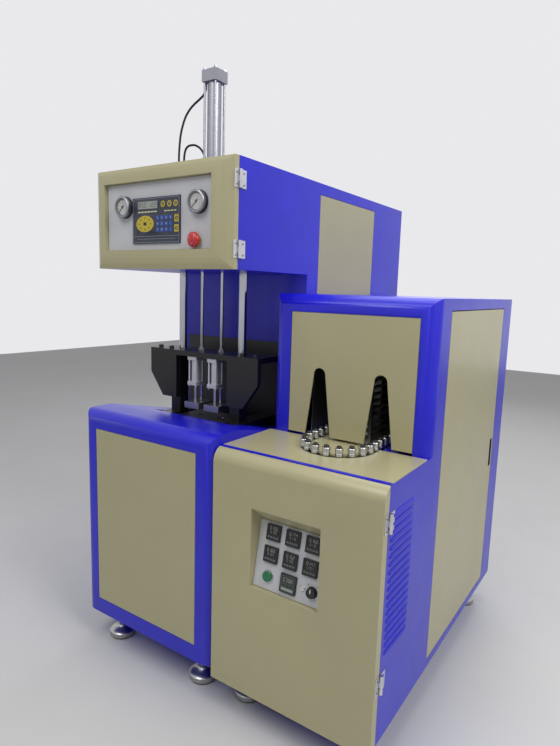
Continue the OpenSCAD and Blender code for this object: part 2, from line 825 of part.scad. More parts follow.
module clamp_piston() {
    back = clamp_back_y + platen_t;
    color(bright) place() {
        bar_y(blower_x, rear_platen_y + platen_t, clamp_z, 40, back + 20 - rear_platen_y - platen_t);
        bar_y(blower_x, back + 2, clamp_z, clamp_bore - 2 * running, 22, round_fn);
    }
}

// Hose points: the share of the way from gland to port across, and of the rise up
hose_d = 8;
hose_sides = 10;
hose_gap = 0.15;
main_gland_x = blower_x - 172;
branch_gland_x = main_gland_x + 24;
port_x = blower_x - stretch_cap / 2 - 10;
port_rise = stretch_cyl_h - cap_h;
main_share = [[0, 0], [0, 0.135], [-0.015, 0.268], [0.008, 0.403], [0.054, 0.526],
    [0.138, 0.628], [0.254, 0.717], [0.415, 0.785], [0.585, 0.83], [0.754, 0.864],
    [0.892, 0.895], [0.969, 0.925], [1, 0.952], [1, 1]];
branch_share = [[0, 0], [0, 0.14], [0.01, 0.26], [0.06, 0.34], [0.17, 0.382], [0.35, 0.394],
    [0.55, 0.385], [0.75, 0.35], [0.9, 0.3], [0.98, 0.245], [1, 0.195], [1, 0.15]];
main_path = [for (s = main_share)
    [main_gland_x + s[0] * (port_x - main_gland_x), cavity_y, head_top_z + s[1] * port_rise]];
branch_path = [for (s = branch_share)
    [branch_gland_x + s[0] * (port_x - branch_gland_x), cavity_y, head_top_z + s[1] * port_rise]];

function unit(a) = a / norm(a);
function way(p, i) = unit(p[min(i + 1, len(p) - 1)] - p[max(i - 1, 0)]);
function hose_ring(p, i, r) = [for (k = [0:hose_sides - 1])
    let (t = way(p, i), u = unit(cross(t, [0, 1, 0])), a = 360 * k / hose_sides)
    p[i] + r * (cos(a) * u + sin(a) * [0, 1, 0])];

// A hose swept along its own points, with closed ends
module hose(p, d) {
    n = len(p);
    rings = [for (i = [0:n - 1]) each hose_ring(p, i, d / 2)];
    sides = [for (i = [0:n - 2]) for (k = [0:hose_sides - 1])
        let (a = i * hose_sides + k, b = i * hose_sides + (k + 1) % hose_sides)
        [a, b, b + hose_sides, a + hose_sides]];
    ends = [[for (k = [hose_sides - 1:-1:0]) k], [for (k = [0:hose_sides - 1]) (n - 1) * hose_sides + k]];
    polyhedron(rings, concat(sides, ends));
}

module air_hoses() {
    color(rubber_black) place() {
        hose(main_path, hose_d);
        hose(branch_path, hose_d);
    }
}

// Two glands on the head and two elbows that join the hoses to the end caps
module hose_fittings() {
    top = head_top_z + port_rise;
    low = head_top_z + branch_share[11][1] * port_rise;
    low_port = head_top_z + cap_h / 2;
    color(bright) place() difference() {
        union() {
            for (x = [main_gland_x, branch_gland_x]) {
                post(x, cavity_y, head_top_z, 20, 8, 6);
                post(x, cavity_y, head_top_z, 15, 18, fine_fn);
            }
            post(port_x, cavity_y, top - 12, 13, 32, fine_fn);
            bar_x(port_x, cavity_y, top + 14, 11, 10, fine_fn);
            post(port_x, cavity_y, low_port - 6, 13, low + 12 - low_port + 6, fine_fn);
            bar_x(port_x, cavity_y, low_port, 11, 10, fine_fn);
        }
        for (x = [main_gland_x, branch_gland_x])
            post(x, cavity_y, head_top_z - 1, hose_d + hose_gap, 30);
        post(port_x, cavity_y, top - 13, hose_d + hose_gap, 13);
        post(port_x, cavity_y, low, hose_d + hose_gap, 13);
    }
}

cab_y = oven_door_t;
table_t = 4;
rim_w = 13;
skirt_y = 427;
upper_bottom = table_z;
panel_x = ring_x - oven_panel_w / 2;
oven_panel_z = table_z + 12;

module oven_upper_outline(t) {
    intersection() {
        linear_extrude(head_top_z)
            round_front(oven_x + t, oven_right - t, oven_face_y + t, oven_d - t, oven_round - t);
        along_x(oven_x + t, oven_right - t) {
            r = oven_round;
            translate([oven_face_y + r, oven_top_z - r]) circle(r - t, $fn = round_fn);
            polygon([[oven_face_y + t, floor_gap + t], [oven_face_y + t, oven_top_z - r],
                [oven_face_y + r, oven_top_z - t], [oven_d - t, oven_top_z - t],
                [oven_d - t, floor_gap + t]]);
        }
    }
}

louvre_n = 18;
louvre_pitch = 23;
louvre_top = 782;
louvre_y0 = 50;
louvre_y1 = 210;
side_y0 = 433;
side_z0 = 150;
side_gap = 3;
side_door_t = 22;
swing_room = 3;
deck_gap = 1;
oven_flange = 8;

module oven_cabinet() {
    color(steel_blue) place() difference() {
        union() {
            oven_upper_outline(0);
            span([oven_x, cab_y, floor_gap], [oven_right, oven_d, table_z]);
            span([oven_x, cab_y, table_z - 1], [oven_right, cab_y + rim_w, table_z + table_t]);
        }
        difference() {
            oven_upper_outline(sheet);
            span([oven_x, 0, table_z - sheet], [oven_right, oven_d - 2 * sheet - deck_gap, table_z]);
        }
        span([oven_right - side_door_t - swing_room, side_y0 - side_gap, table_z - sheet - 1],
            [oven_right, side_y0 + side_door_w + side_gap, table_z + 1]);
        span([panel_x - oven_flange - deck_gap, oven_face_y + sheet, oven_panel_z],
            [panel_x + oven_panel_w + oven_flange + deck_gap, oven_face_y + 2 * sheet + deck_gap,
             oven_panel_z + oven_panel_h + oven_flange + deck_gap]);
        span([oven_x + sheet, cab_y - 1, floor_gap + sheet],
            [oven_right - sheet, oven_d - sheet, table_z - sheet]);
        span([panel_x - panel_gap, oven_face_y - 1, table_z - 1],
            [panel_x + oven_panel_w + panel_gap, oven_face_y + oven_round,
             oven_panel_z + oven_panel_h + panel_gap]);
        span([oven_right - sheet - 1, side_y0 - side_gap, side_z0 - side_gap],
            [oven_right + 1, side_y0 + side_door_w + side_gap, side_z0 + side_door_h + side_gap]);
        rear_opening(oven_x, oven_right, oven_d, rear_panel_z0, oven_rear_z1);
        chain_slot();
        for (i = [0:louvre_n - 1])
            span([oven_right - sheet - 1, louvre_y0, louvre_top - i * louvre_pitch - 7],
                [oven_right + 1, louvre_y1, louvre_top - i * louvre_pitch]);
    }
}

run_r = run_pitch / 2;
front_cy = 251;
straight = (holder_count * holder_pitch - PI * run_pitch) / 2;
slot_half = 7.5;
slot_r = run_r + slot_half;
core_r = run_r - slot_half;

// The oval slot in the table that the chain runs in
module chain_slot() {
    translate([0, 0, table_z - sheet - 1]) linear_extrude(sheet + 12) oval(slot_r);
}

module oval(r) {
    translate([ring_x, front_cy]) circle(r, $fn = 64);
    translate([ring_x, front_cy + straight]) circle(r, $fn = 64);
    translate([ring_x - r, front_cy]) square([2 * r, straight]);
}

module tunnel(x) {
    r = 22;
    k = tunnel_w / 2;
    translate([x, table_z + tunnel_h - r]) circle(r, $fn = 32);
    polygon([[x - k, table_z - 1], [x + k, table_z - 1], [x + r - 1, table_z + tunnel_h - r + 6],
        [x - r + 1, table_z + tunnel_h - r + 6]]);
}

// The plate fills the frame's opening and a second sheet behind laps over its edge
module oven_front_panel() {
    color(door_beige) place() for (lap = [0, 1])
        along_y(oven_face_y + lap * sheet, oven_face_y + (lap + 1) * sheet) difference() {
            translate([panel_x - lap * oven_flange, oven_panel_z])
                square([oven_panel_w + 2 * lap * oven_flange, oven_panel_h + lap * oven_flange]);
            tunnel(ring_x - run_r);
            tunnel(ring_x + run_r);
        }
}

oven_recess_x = oven_x + 150;
oven_recess_w = 235;
oven_recess_z = 463;
oven_recess_h = 246;
lean_y0 = 13;
lean_y1 = 52;
lean_h = 201;
lean_a = atan((lean_y1 - lean_y0) / lean_h);
lean_l = lean_h / cos(lean_a);
door_bottom = 98;
door_top = table_z + table_t;

// The door seen from its side: a rolled top edge, drawn smaller by its skin
module oven_door_side(t) {
    r = door_roll;
    translate([t, door_bottom + t]) square([oven_door_t - running - t, door_top - r - door_bottom - t]);
    intersection() {
        translate([r, door_top - r]) circle(r - t, $fn = 64);
        translate([t, door_top - r - eps]) square([oven_door_t - running - t, r]);
    }
}

// Draws on the leaning controller plate: Y = 0 is its face and z runs up along it
module lean() {
    translate([0, lean_y0, oven_recess_z]) rotate([-lean_a, 0, 0]) children();
}

// The recess seen from the door's side, with a sloping roof over the leaning plate
module recess_side() {
    back = plate_t / cos(lean_a);
    polygon([[-1, oven_recess_z], [lean_y0 + back, oven_recess_z],
        [lean_y1 + back, oven_recess_z + lean_h], [0, oven_recess_z + oven_recess_h],
        [-1, oven_recess_z + oven_recess_h]]);
}

// A folded door, open at its back, with the box that holds the controllers
module oven_front_door() {
    x1 = oven_recess_x + oven_recess_w;
    color(door_beige) place() difference() {
        union() {
            difference() {
                along_x(oven_x + 1, oven_right) oven_door_side(0);
                along_x(oven_x + 1 + sheet, oven_right - sheet) oven_door_side(sheet);
                span([oven_x + 1 + sheet, oven_door_t - sheet, door_bottom + sheet],
                    [oven_right - sheet, oven_door_t + 1, door_top - door_roll]);
            }
            along_x(oven_recess_x - sheet, x1 + sheet) intersection() {
                offset(delta = sheet) recess_side();
                translate([1, door_bottom]) square([lean_y1 + oven_door_t, door_top - door_bottom]);
            }
        }
        along_x(oven_recess_x, x1) recess_side();
        lean() bar_y(knob_x, -1, knob_s, knob_bore, oven_door_t);
        lean() bar_y(start_x, -1, knob_s, start_bore, oven_door_t);
    }
}

module oven_hinge_knuckles() {
    color(bright) place() for (z = oven_hinge_z) hinge_moving(oven_right, cab_y, z, oven_door_t - 5);
}

plate_edge = 2;
controller_at = [55, 123, 191];
controller_rise = [108, 173];
controller_w = 48;
controller_t = 8;
meter_w = 54;
knob_s = 42;
knob_x = oven_recess_x + 205;
meter_x = oven_recess_x + 126;
lamp_x = oven_recess_x + 173;
start_x = oven_recess_x + 53;
knob_d = 28;
knob_t = 14;
start_d = 32;
start_t = 9;
start_travel = 3;
start_bore = 24;
knob_bore = 9;

module controller_plate() {
    color(pale_grey) place() lean() difference() {
        span([oven_recess_x + plate_edge, 0, plate_edge],
            [oven_recess_x + oven_recess_w - plate_edge, plate_t, lean_l - plate_edge]);
        bar_y(knob_x, -1, knob_s, knob_bore, 2 * plate_t);
        bar_y(start_x, -1, knob_s, start_bore, 2 * plate_t);
    }
}

// A square instrument that stands out of the leaning plate
module instrument(x, s, w) {
    span([x - w / 2, -controller_t, s - w / 2], [x + w / 2, 0, s + w / 2]);
}

module controllers() {
    color("black") place() lean() {
        for (x = controller_at) for (s = controller_rise) instrument(oven_recess_x + x, s, controller_w);
        instrument(meter_x, knob_s, meter_w);
    }
}

module status_lamp() {
    color("white") place() lean() bar_y(lamp_x, -controller_t / 2, knob_s + 2, 13, controller_t / 2, fine_fn);
}

module start_button() {
    color("seagreen") place() lean() {
        bar_y(start_x, -start_t, knob_s, start_d, start_t - start_travel - 1, round_fn);
        bar_y(start_x, -start_t, knob_s, start_bore - 0.6, start_t + 3, round_fn);
    }
}

module selector_knob() {
    color("black") place() lean() {
        bar_y(knob_x, -knob_t, knob_s, knob_d, knob_t - running, 32);
        bar_y(knob_x, -1, knob_s, knob_bore - 0.6, plate_t + 3, fine_fn);
        span([knob_x - 2, -knob_t - 1, knob_s], [knob_x + 2, -knob_t + eps, knob_s + knob_d / 2 - 2]);
    }
}

oven_hinge_z = [310, 765];

module hinge_leaves() {
    color(bright) place() {
        for (z = oven_hinge_z) hinge_fixed(oven_right, cab_y, z);
        for (z = hinge_z) hinge_fixed(blower_w, head_y, z);
    }
}

pivot_x = oven_right - 6;
pivot_y = side_y0 + 6;
pivot_d = 6;
handle_y0 = side_y0 + side_door_w - 44;
handle_z0 = 655;

// A folded side door with a sunk grip near its free edge and two pivot bushes
module oven_side_door() {
    y1 = side_y0 + side_door_w;
    z1 = side_z0 + side_door_h;
    color(door_beige) place() difference() {
        union() {
            difference() {
                span([oven_right - side_door_t, side_y0, side_z0], [oven_right, y1, z1]);
                span([oven_right - side_door_t - 1, side_y0 + 14, side_z0 + sheet],
                    [oven_right - sheet, y1 - sheet, z1 - sheet]);
            }
            span([oven_right - 14 - sheet, handle_y0 - sheet, handle_z0 - sheet],
                [oven_right - 1, handle_y0 + 30 + sheet, handle_z0 + 114 + sheet]);
        }
        span([oven_right - 14, handle_y0, handle_z0], [oven_right + 1, handle_y0 + 30, handle_z0 + 114]);
        for (z = [side_z0 - 1, z1 - 12]) post(pivot_x, pivot_y, z, pivot_d + 0.1, 13, fine_fn);
    }
}

// Brackets on the cabinet wall with the pins that the side door turns on
module side_door_pivots() {
    z1 = side_z0 + side_door_h;
    color(bright) place() for (p = [[side_z0 - side_gap - 5, -1], [z1 + side_gap, 1]]) {
        span([oven_right - sheet - 16, pivot_y - 14, p[0]], [oven_right - sheet, pivot_y + 6, p[0] + 5]);
        post(pivot_x, pivot_y, p[1] > 0 ? z1 - 10 : side_z0 - side_gap - 1, pivot_d,
            10 + side_gap + 1, fine_fn);
    }
}

module oven_table() {
    color(door_beige) place() difference() {
        span([oven_x + 2, cab_y + rim_w + 2, table_z],
            [oven_right - 1, oven_face_y - running, table_z + table_t]);
        translate([0, 0, table_z - 1]) linear_extrude(2 * table_t) oval(slot_r);
    }
}

edging_t = 1.5;

// The dark edging round the front of the chain's slot
module slot_edging() {
    color(dark) place() intersection() {
        translate([0, 0, table_z - sheet]) linear_extrude(sheet + table_t + 0.5) difference() {
            oval(slot_r);
            oval(slot_r - edging_t);
        }
        span([oven_x, cab_y, table_z - sheet], [oven_right, oven_face_y - running, table_z + 10]);
    }
}

// The fixed cover inside the chain loop, on pillars from the track
module chain_guard() {
    color(door_beige) place() {
        translate([0, 0, table_z]) linear_extrude(table_t) oval(core_r);
        for (p = pillar_places) post(p[0], p[1], track_z, 24, table_z - track_z);
    }
}

track_t = 6;
track_z = table_z - 26;
pillar_places = [for (x = [-40, 40]) for (y = [130, straight - 130]) [ring_x + x, front_cy + y]];

// The plate that the chain slides on, its legs and the two wheels the chain runs round
module chain_track() {
    color("dimgray") place() {
        for (y = [front_cy, front_cy + straight]) {
            post(ring_x, y, track_z - eps, 2 * wheel_r, link_step + link_t, 64);
            post(ring_x, y, track_z - eps, 40, table_z - track_z + eps);
        }
        translate([0, 0, track_z - track_t]) linear_extrude(track_t) oval(run_r + 14);
        for (p = pillar_places)
            span([p[0] - 20, p[1] - 20, floor_gap + sheet], [p[0] + 20, p[1] + 20, track_z - track_t + eps]);
    }
}

function on_oval(s) =
    let (half = PI * run_r, u = s % (2 * straight + 2 * half))
    u < straight ? [run_r, u, 0] :
    u < straight + half ? let (a = (u - straight) / run_r * 180 / PI)
        [run_r * cos(a), straight + run_r * sin(a), a] :
    u < 2 * straight + half ? [-run_r, straight - (u - straight - half), 180] :
    let (a = (u - 2 * straight - half) / run_r * 180 / PI) [-run_r * cos(a), -run_r * sin(a), 180 + a];

link_t = 3;
link_step = link_t + 0.2;
link_w = 16;
wheel_gap = 0.5;
wheel_r = sqrt(run_r * run_r - holder_pitch * holder_pitch / 4) - link_w / 2 + 1 - wheel_gap;
holder_pin_d = 8;
stem_r = 5;
nose_r = 8;
nose_h = 7;

// Turned holders: a pin through the links, a body, a wide collar and a nose
module preform_holders() {
    r = holder_d / 2;
    z1 = link_step + link_t;
    z2 = table_z + table_t + 2 - track_z;
    color(bright) place() for (i = [0:holder_count - 1]) {
        p = on_oval(i * holder_pitch);
        translate([ring_x + p[0], front_cy + p[1], track_z]) rotate_extrude($fn = 14)
            polygon([[0, 0], [holder_pin_d / 2, 0], [holder_pin_d / 2, z1], [stem_r, z1],
                [stem_r, z2], [r, z2], [r, z2 + holder_h], [nose_r, z2 + holder_h],
                [nose_r, z2 + holder_h + nose_h], [0, z2 + holder_h + nose_h]]);
    }
}

// Flat links, each from one holder's pin to the next, in two layers by turns
module chain_links() {
    color("dimgray") place() for (i = [0:holder_count - 1]) {
        a = on_oval(i * holder_pitch);
        b = on_oval((i + 1) * holder_pitch);
        way = [b[0] - a[0], b[1] - a[1]];
        translate([ring_x + a[0], front_cy + a[1], track_z + (i % 2) * link_step])
            rotate([0, 0, atan2(way[1], way[0])]) linear_extrude(link_t) difference() {
                union() {
                    circle(link_w / 2, $fn = 16);
                    translate([norm(way), 0]) circle(link_w / 2, $fn = 16);
                    translate([0, -link_w / 2 + 1]) square([norm(way), link_w - 2]);
                }
                circle(holder_pin_d / 2 + 0.1, $fn = 16);
                translate([norm(way), 0]) circle(holder_pin_d / 2 + 0.1, $fn = 16);
            }
    }
}

lamp_n = 8;
lamp_d = 10;
lamp_pitch = 24;
lamp_z0 = table_z + 40;
lamp_inset = 50;
lamp_end = 60;
bracket_w = 28;
bracket_t = 12;
lamp_off = run_r - lamp_inset;
lamp_y0 = oven_face_y + 26;
lamp_y1 = front_cy + straight - lamp_end;
reflector_off = run_r + 37;
reflector_t = 2;
reflector_foot = 24;

// Straight heating lamps in two banks, one beside each run of the chain
module lamp_tubes() {
    color("gold") place() for (s = [-1, 1]) for (i = [0:lamp_n - 1])
        bar_y(ring_x + s * lamp_off, lamp_y0, lamp_z0 + i * lamp_pitch, lamp_d, lamp_y1 - lamp_y0, 16);
}

module lamp_brackets() {
    h = lamp_z0 + lamp_n * lamp_pitch - table_z;
    color("dimgray") place() for (s = [-1, 1]) for (y = [lamp_y0, (lamp_y0 + lamp_y1) / 2, lamp_y1 - bracket_t])
        difference() {
            span([ring_x + s * lamp_off - bracket_w / 2, y, table_z + table_t],
                [ring_x + s * lamp_off + bracket_w / 2, y + bracket_t, table_z + h]);
            for (i = [0:lamp_n - 1])
                bar_y(ring_x + s * lamp_off, y - 1, lamp_z0 + i * lamp_pitch, lamp_d, 14, 16);
        }
}

// Bright screens on the far side of each run, with a foot flange on the table
module reflectors() {
    color(bright) place() for (s = [-1, 1]) {
        x = ring_x + s * reflector_off;
        x_foot = x + s * reflector_foot;
        span([x - reflector_t / 2, lamp_y0, table_z],
            [x + reflector_t / 2, lamp_y1, lamp_z0 + lamp_n * lamp_pitch]);
        span([min(x, x_foot), lamp_y0, table_z], [max(x, x_foot), lamp_y1, table_z + reflector_t]);
    }
}

base_cabinet();
base_front_panel();
upper_housing();
column_side_panel();
rear_panels();
foot_pads();
foot_cups();
foot_nuts();
head_door();
instrument_plate();
gauge_cases();
left_needle();
right_needle();
control_panel();
stop_button();
head_hinge_knuckles();
stretch_cylinder_caps();
stretch_cylinder_barrel();
stretch_piston();
stretch_crosshead();
stretch_rods();
guide_columns();
air_hoses();
hose_fittings();
press_bed();
press_posts();
press_top_plate();
press_back_plate();
rod_glands();
seal_cylinders();
left_nozzle();
right_nozzle();
front_platen();
rear_platen();
front_mould_half();
rear_mould_half();
clamp_tie_bars();
clamp_cylinder();
clamp_piston();
oven_cabinet();
oven_front_panel();
oven_front_door();
controller_plate();
controllers();
status_lamp();
start_button();
selector_knob();
hinge_leaves();
oven_hinge_knuckles();
oven_side_door();
side_door_pivots();
oven_table();
slot_edging();
chain_guard();
chain_track();
preform_holders();
chain_links();
lamp_tubes();
lamp_brackets();
reflectors();
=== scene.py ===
"""Looks of the stretch blow moulding machine: finishes, printed fronts and fine pieces round the CAD solids.

Lengths are in millimetres until at() or a surface function turns them into metres.
"""

import json
import math

import bmesh
import bpy
import numpy as np
from mathutils import Matrix, Vector


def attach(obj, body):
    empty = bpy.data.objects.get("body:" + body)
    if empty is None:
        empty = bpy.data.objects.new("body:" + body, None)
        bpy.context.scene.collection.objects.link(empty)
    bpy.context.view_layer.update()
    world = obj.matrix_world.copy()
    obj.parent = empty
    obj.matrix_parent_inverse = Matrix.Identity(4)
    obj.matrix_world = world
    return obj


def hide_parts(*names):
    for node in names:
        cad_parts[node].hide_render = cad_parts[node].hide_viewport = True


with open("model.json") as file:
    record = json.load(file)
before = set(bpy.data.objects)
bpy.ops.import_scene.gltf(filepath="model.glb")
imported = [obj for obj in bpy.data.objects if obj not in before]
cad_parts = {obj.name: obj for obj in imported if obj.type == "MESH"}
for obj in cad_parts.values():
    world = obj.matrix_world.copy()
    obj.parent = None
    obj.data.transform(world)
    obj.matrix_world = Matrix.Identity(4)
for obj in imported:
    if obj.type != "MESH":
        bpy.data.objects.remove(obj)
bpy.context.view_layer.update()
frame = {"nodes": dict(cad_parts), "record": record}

middle_x = 603.0
middle_y = 685.0


def at(x, y, z):
    """A place in metres from millimetres off the blower's front left corner at the floor."""
    return np.array([x - middle_x, y - middle_y, z]) / 1000.0


# Camera

picture_height_px = 746.0
focal_length_px = 556.27
sensor_mm = 36.0
aside = math.radians(33.86)
tip = math.radians(-8.493)
roll = math.radians(1.747)
camera_place = at(1707.5, -1255.9, 1347.5)

camera = bpy.data.objects.new("camera", bpy.data.cameras.new("camera"))
bpy.context.scene.collection.objects.link(camera)
bpy.context.scene.camera = camera
camera.data.sensor_width = sensor_mm
camera.data.lens = focal_length_px / picture_height_px * sensor_mm
camera.data.clip_start = 0.05
ahead = Vector((-math.sin(aside) * math.cos(tip), math.cos(aside) * math.cos(tip), math.sin(tip)))
level = Vector((math.cos(aside), math.sin(aside), 0.0))
upright = level.cross(ahead)
across_view = math.cos(roll) * level + math.sin(roll) * upright
up_view = -math.sin(roll) * level + math.cos(roll) * upright
turn_of_view = Matrix((across_view, up_view, -ahead)).transposed().to_4x4()
camera.matrix_world = Matrix.Translation(camera_place) @ turn_of_view


# Colour and materials


def linear(code):
    """The linear RGBA of an sRGB hex code."""
    parts = [int(code[i : i + 2], 16) / 255 for i in (1, 3, 5)]
    return (*[((c + 0.055) / 1.055) ** 2.4 if c > 0.04045 else c / 12.92 for c in parts], 1.0)


def node(tree, kind, inputs=None, links=None, **settings):
    """Adds one node with its properties, its socket values and its incoming links."""
    made = tree.nodes.new(kind)
    for key, value in settings.items():
        setattr(made, key, value)
    for key, value in (inputs or {}).items():
        made.inputs[key].default_value = value
    for key, socket in (links or {}).items():
        tree.links.new(socket, made.inputs[key])
    return made


def material(name):
    """An empty node material with its Principled shader."""
    made = bpy.data.materials.new(name)
    made.use_nodes = True
    return made, made.node_tree, made.node_tree.nodes["Principled BSDF"]


wipe_mm = 1000 / 9


def coated(
    name, colour, faded, rough, grain_mm, depth_mm, mottle_mm=160.0, coat=0.0, metallic=0.0, stretch=(1, 1, 1)
):
    """A finish with slow colour drift between two shades, uneven gloss and a fine surface relief."""
    made, tree, shader = material(name)
    place = node(tree, "ShaderNodeTexCoord").outputs["Object"]
    drawn = node(tree, "ShaderNodeMapping", {"Scale": stretch}, {"Vector": place}).outputs["Vector"]

    mottle = {"Scale": 1000 / mottle_mm, "Detail": 4.0, "Roughness": 0.6}
    drift = node(tree, "ShaderNodeTexNoise", mottle, {"Vector": place})
    shade_range = {"From Min": 0.3, "From Max": 0.7}
    shade = node(tree, "ShaderNodeMapRange", shade_range, {"Value": drift.outputs["Fac"]})
    shades = {6: linear(colour), 7: linear(faded)}
    blend = node(tree, "ShaderNodeMix", shades, {0: shade.outputs["Result"]}, data_type="RGBA")

    wiping = {"Scale": 1000 / wipe_mm, "Detail": 6.0, "Roughness": 0.65, "Distortion": 0.6}
    wipe = node(tree, "ShaderNodeTexNoise", wiping, {"Vector": drawn})
    gloss_range = {"From Min": 0.35, "From Max": 0.75, "To Min": rough * 0.92, "To Max": rough * 1.15}
    gloss = node(tree, "ShaderNodeMapRange", gloss_range, {"Value": wipe.outputs["Fac"]})

    graining = {"Scale": 1000 / grain_mm, "Detail": 3.0, "Roughness": 0.55}
    grain = node(tree, "ShaderNodeTexNoise", graining, {"Vector": drawn})
    depth = {"Strength": 0.35, "Distance": depth_mm / 1000}
    relief = node(tree, "ShaderNodeBump", depth, {"Height": grain.outputs["Fac"]})

    tree.links.new(blend.outputs[2], shader.inputs["Base Color"])
    tree.links.new(gloss.outputs["Result"], shader.inputs["Roughness"])
    tree.links.new(relief.outputs["Normal"], shader.inputs["Normal"])
    shader.inputs["Metallic"].default_value = metallic
    shader.inputs["Coat Weight"].default_value = coat
    shader.inputs["Coat Roughness"].default_value = 0.12
    return made


def glassy(name, colour, rough, alpha):
    """Thin clear glass drawn as a see-through glossy skin."""
    made, tree, shader = material(name)
    shader.inputs["Base Color"].default_value = linear(colour)
    shader.inputs["Roughness"].default_value = rough
    shader.inputs["Alpha"].default_value = alpha
    shader.inputs["Specular IOR Level"].default_value = 0.6
    made.surface_render_method = "BLENDED"
    return made


# Polyester powder coat sprayed on sheet steel: even colour, soft gloss, a faint orange peel 3 mm across
blue_coat = coated("royal_blue_powder_coat", "#1c1ad0", "#1a18c3", 0.3, 3.2, 0.01, coat=0.05)
khaki_coat = coated("khaki_powder_coat", "#b4ae88", "#b1ab85", 0.31, 2.8, 0.01, coat=0.15)
# Lacquered aluminium front plate: flat pale grey with a satin sheen
grey_plate = coated("pale_grey_lacquered_plate", "#cbccd1", "#c3c4c9", 0.42, 1.2, 0.03)
# Black stoved enamel on machined steel: deep black, handling marks in the gloss
black_steel = coated("black_enamelled_steel", "#0b0b0d", "#070708", 0.38, 2.0, 0.03, coat=0.05)
# Hard chrome: mirror bright, with only a trace of wiping marks
chrome = coated("hard_chrome_plate", "#dcdce0", "#c9c9cf", 0.1, 6.0, 0.01, metallic=1.0)
# Ground steel of the columns: bright grey, with fine lines across the shaft
ground_steel = coated(
    "ground_column_steel", "#b4b5bb", "#a3a4aa", 0.13, 2.0, 0.01, metallic=1.0, stretch=(1, 1, 6)
)
# Die-cast and bead-blasted aluminium of the small cylinders: pale, with a soft sheen
cast_aluminium = coated("blasted_cast_aluminium", "#cfcfd2", "#c0c0c3", 0.42, 1.2, 0.03, metallic=0.6)
# Zinc plate of the feet: warm grey, half bright, a little uneven
zinc_plate = coated("dull_zinc_plate", "#b9b9b6", "#a9a9a7", 0.3, 3.0, 0.03, metallic=1.0)
# Milled steel: darker grey, with tool lines that break the gloss
machined = coated("milled_steel", "#8d8d90", "#7c7c80", 0.34, 1.5, 0.05, metallic=1.0, stretch=(1, 1, 6))
# Clear anodised aluminium: soft grey sheen with fine drawing lines along its length
anodised = coated(
    "clear_anodised_aluminium", "#a4a5ac", "#96979e", 0.36, 1.0, 0.03, metallic=1.0, stretch=(1, 1, 0.05)
)
# Turned aluminium sleeves of the chain: bright, with a fine grain in the gloss
holder_metal = coated("turned_holder_aluminium", "#c9cacd", "#b9babe", 0.28, 0.8, 0.03, metallic=1.0)
# Moulded rubber: matt black with a dusty drift
rubber = coated("moulded_black_rubber", "#1c1c1d", "#262627", 0.75, 1.5, 0.15)
# Moulded ABS: fine spark texture, half matt
black_abs = coated("black_abs", "#18181a", "#1f1f21", 0.42, 0.9, 0.05)
pale_abs = coated("pale_grey_abs", "#d4d4cd", "#c8c8c1", 0.4, 1.0, 0.03)
# Polished plastic of the button caps: full colour under a clear gloss
red_cap = coated("red_acetal", "#c3202c", "#b31a25", 0.25, 4.0, 0.03, coat=0.3)
green_cap = coated("green_polycarbonate", "#1d7a4b", "#186a40", 0.25, 4.0, 0.03, coat=0.3)
# Silicone of the small keys: flat mid grey with hardly any shine
soft_key = coated("grey_silicone_key", "#6d6e72", "#646569", 0.6, 1.0, 0.02)
# Polyester film over the keys: smooth navy with a slight texture
navy_film = coated("navy_polyester_film", "#1f2536", "#23293b", 0.3, 0.8, 0.02, coat=0.2)
# Screen printing ink: flat even colour, a little duller than the film round it
yellow_print = coated("yellow_screen_print", "#c9b53a", "#bda935", 0.45, 2.0, 0.01)
blue_print = coated("blue_screen_print", "#2f55a8", "#2a4d99", 0.45, 2.0, 0.01)
white_print = coated("white_screen_print", "#e2e2df", "#d8d8d5", 0.45, 2.0, 0.01)
black_print = coated("black_screen_print", "#141416", "#1a1a1c", 0.45, 2.0, 0.01)
cream_print = coated("cream_screen_print", "#dcdcb4", "#d0d0a8", 0.45, 2.0, 0.01)
faint_print = coated("faint_white_screen_print", "#a3a9bd", "#989eb3", 0.45, 2.0, 0.01)
# Printed front of the meter: dark grey green, half matt
meter_green = coated("grey_green_printed_front", "#3d4a46", "#38443f", 0.4, 2.0, 0.01)
# Enamel of the dials: clean off-white with a slight gloss
dial_enamel = coated("white_dial_enamel", "#cdcecb", "#c4c5c2", 0.35, 3.0, 0.01)
# Film over an unlit display: grey green, smooth and glossy
lcd_grey = coated("grey_green_display_film", "#9da39c", "#949a93", 0.25, 2.0, 0.01, coat=0.3)
# Smoked acrylic over the displays: near black with a sharp gloss
display_window = coated("smoked_acrylic_window", "#15171a", "#101214", 0.12, 5.0, 0.01, coat=0.4)
# Display segments at rest: unlit, paler than the smoked window under them
value_segment = coated("unlit_value_segment", "#bdb6b2", "#b1aaa7", 0.4, 1.0, 0.01)
set_segment = coated("unlit_set_segment", "#a2b0a5", "#97a59a", 0.4, 1.0, 0.01)
# Frosted quartz of the cold lamps, darkened to a grey that paints the shade inside the oven, with a glassy
# gloss
quartz_in_painted_shade = coated("quartz_tube_darkened_for_shade", "#6f6c66", "#625f59", 0.14, 3.0, 0.02, coat=0.3)
# Steatite of the lamp ends: cream, dry and matt
steatite = coated("steatite_ceramic", "#e5dfd0", "#d6cfbd", 0.5, 1.5, 0.05)
# Glass over the dials: all but clear, seen only by its reflections
lens = glassy("dial_glass", "#ffffff", 0.04, 0.05)

finish_of = {
    "blue_paint": blue_coat,
    "beige_paint": khaki_coat,
    "grey_plate": grey_plate,
    "black_steel": black_steel,
    "chrome": chrome,
    "steel": machined,
    "aluminium": anodised,
    "black_rubber": rubber,
    "black_plastic": black_abs,
    "navy_film": navy_film,
    "red_plastic": red_cap,
    "green_plastic": green_cap,
    "pale_plastic": pale_abs,
    "lamp_glass": quartz_in_painted_shade,
}
slot_of = {s["node"]: s["material_slot"] for s in frame["record"]["subparts"]}
body_of = {n: b for b, members in frame["record"]["behaviour"]["bodies"].items() for n in members}


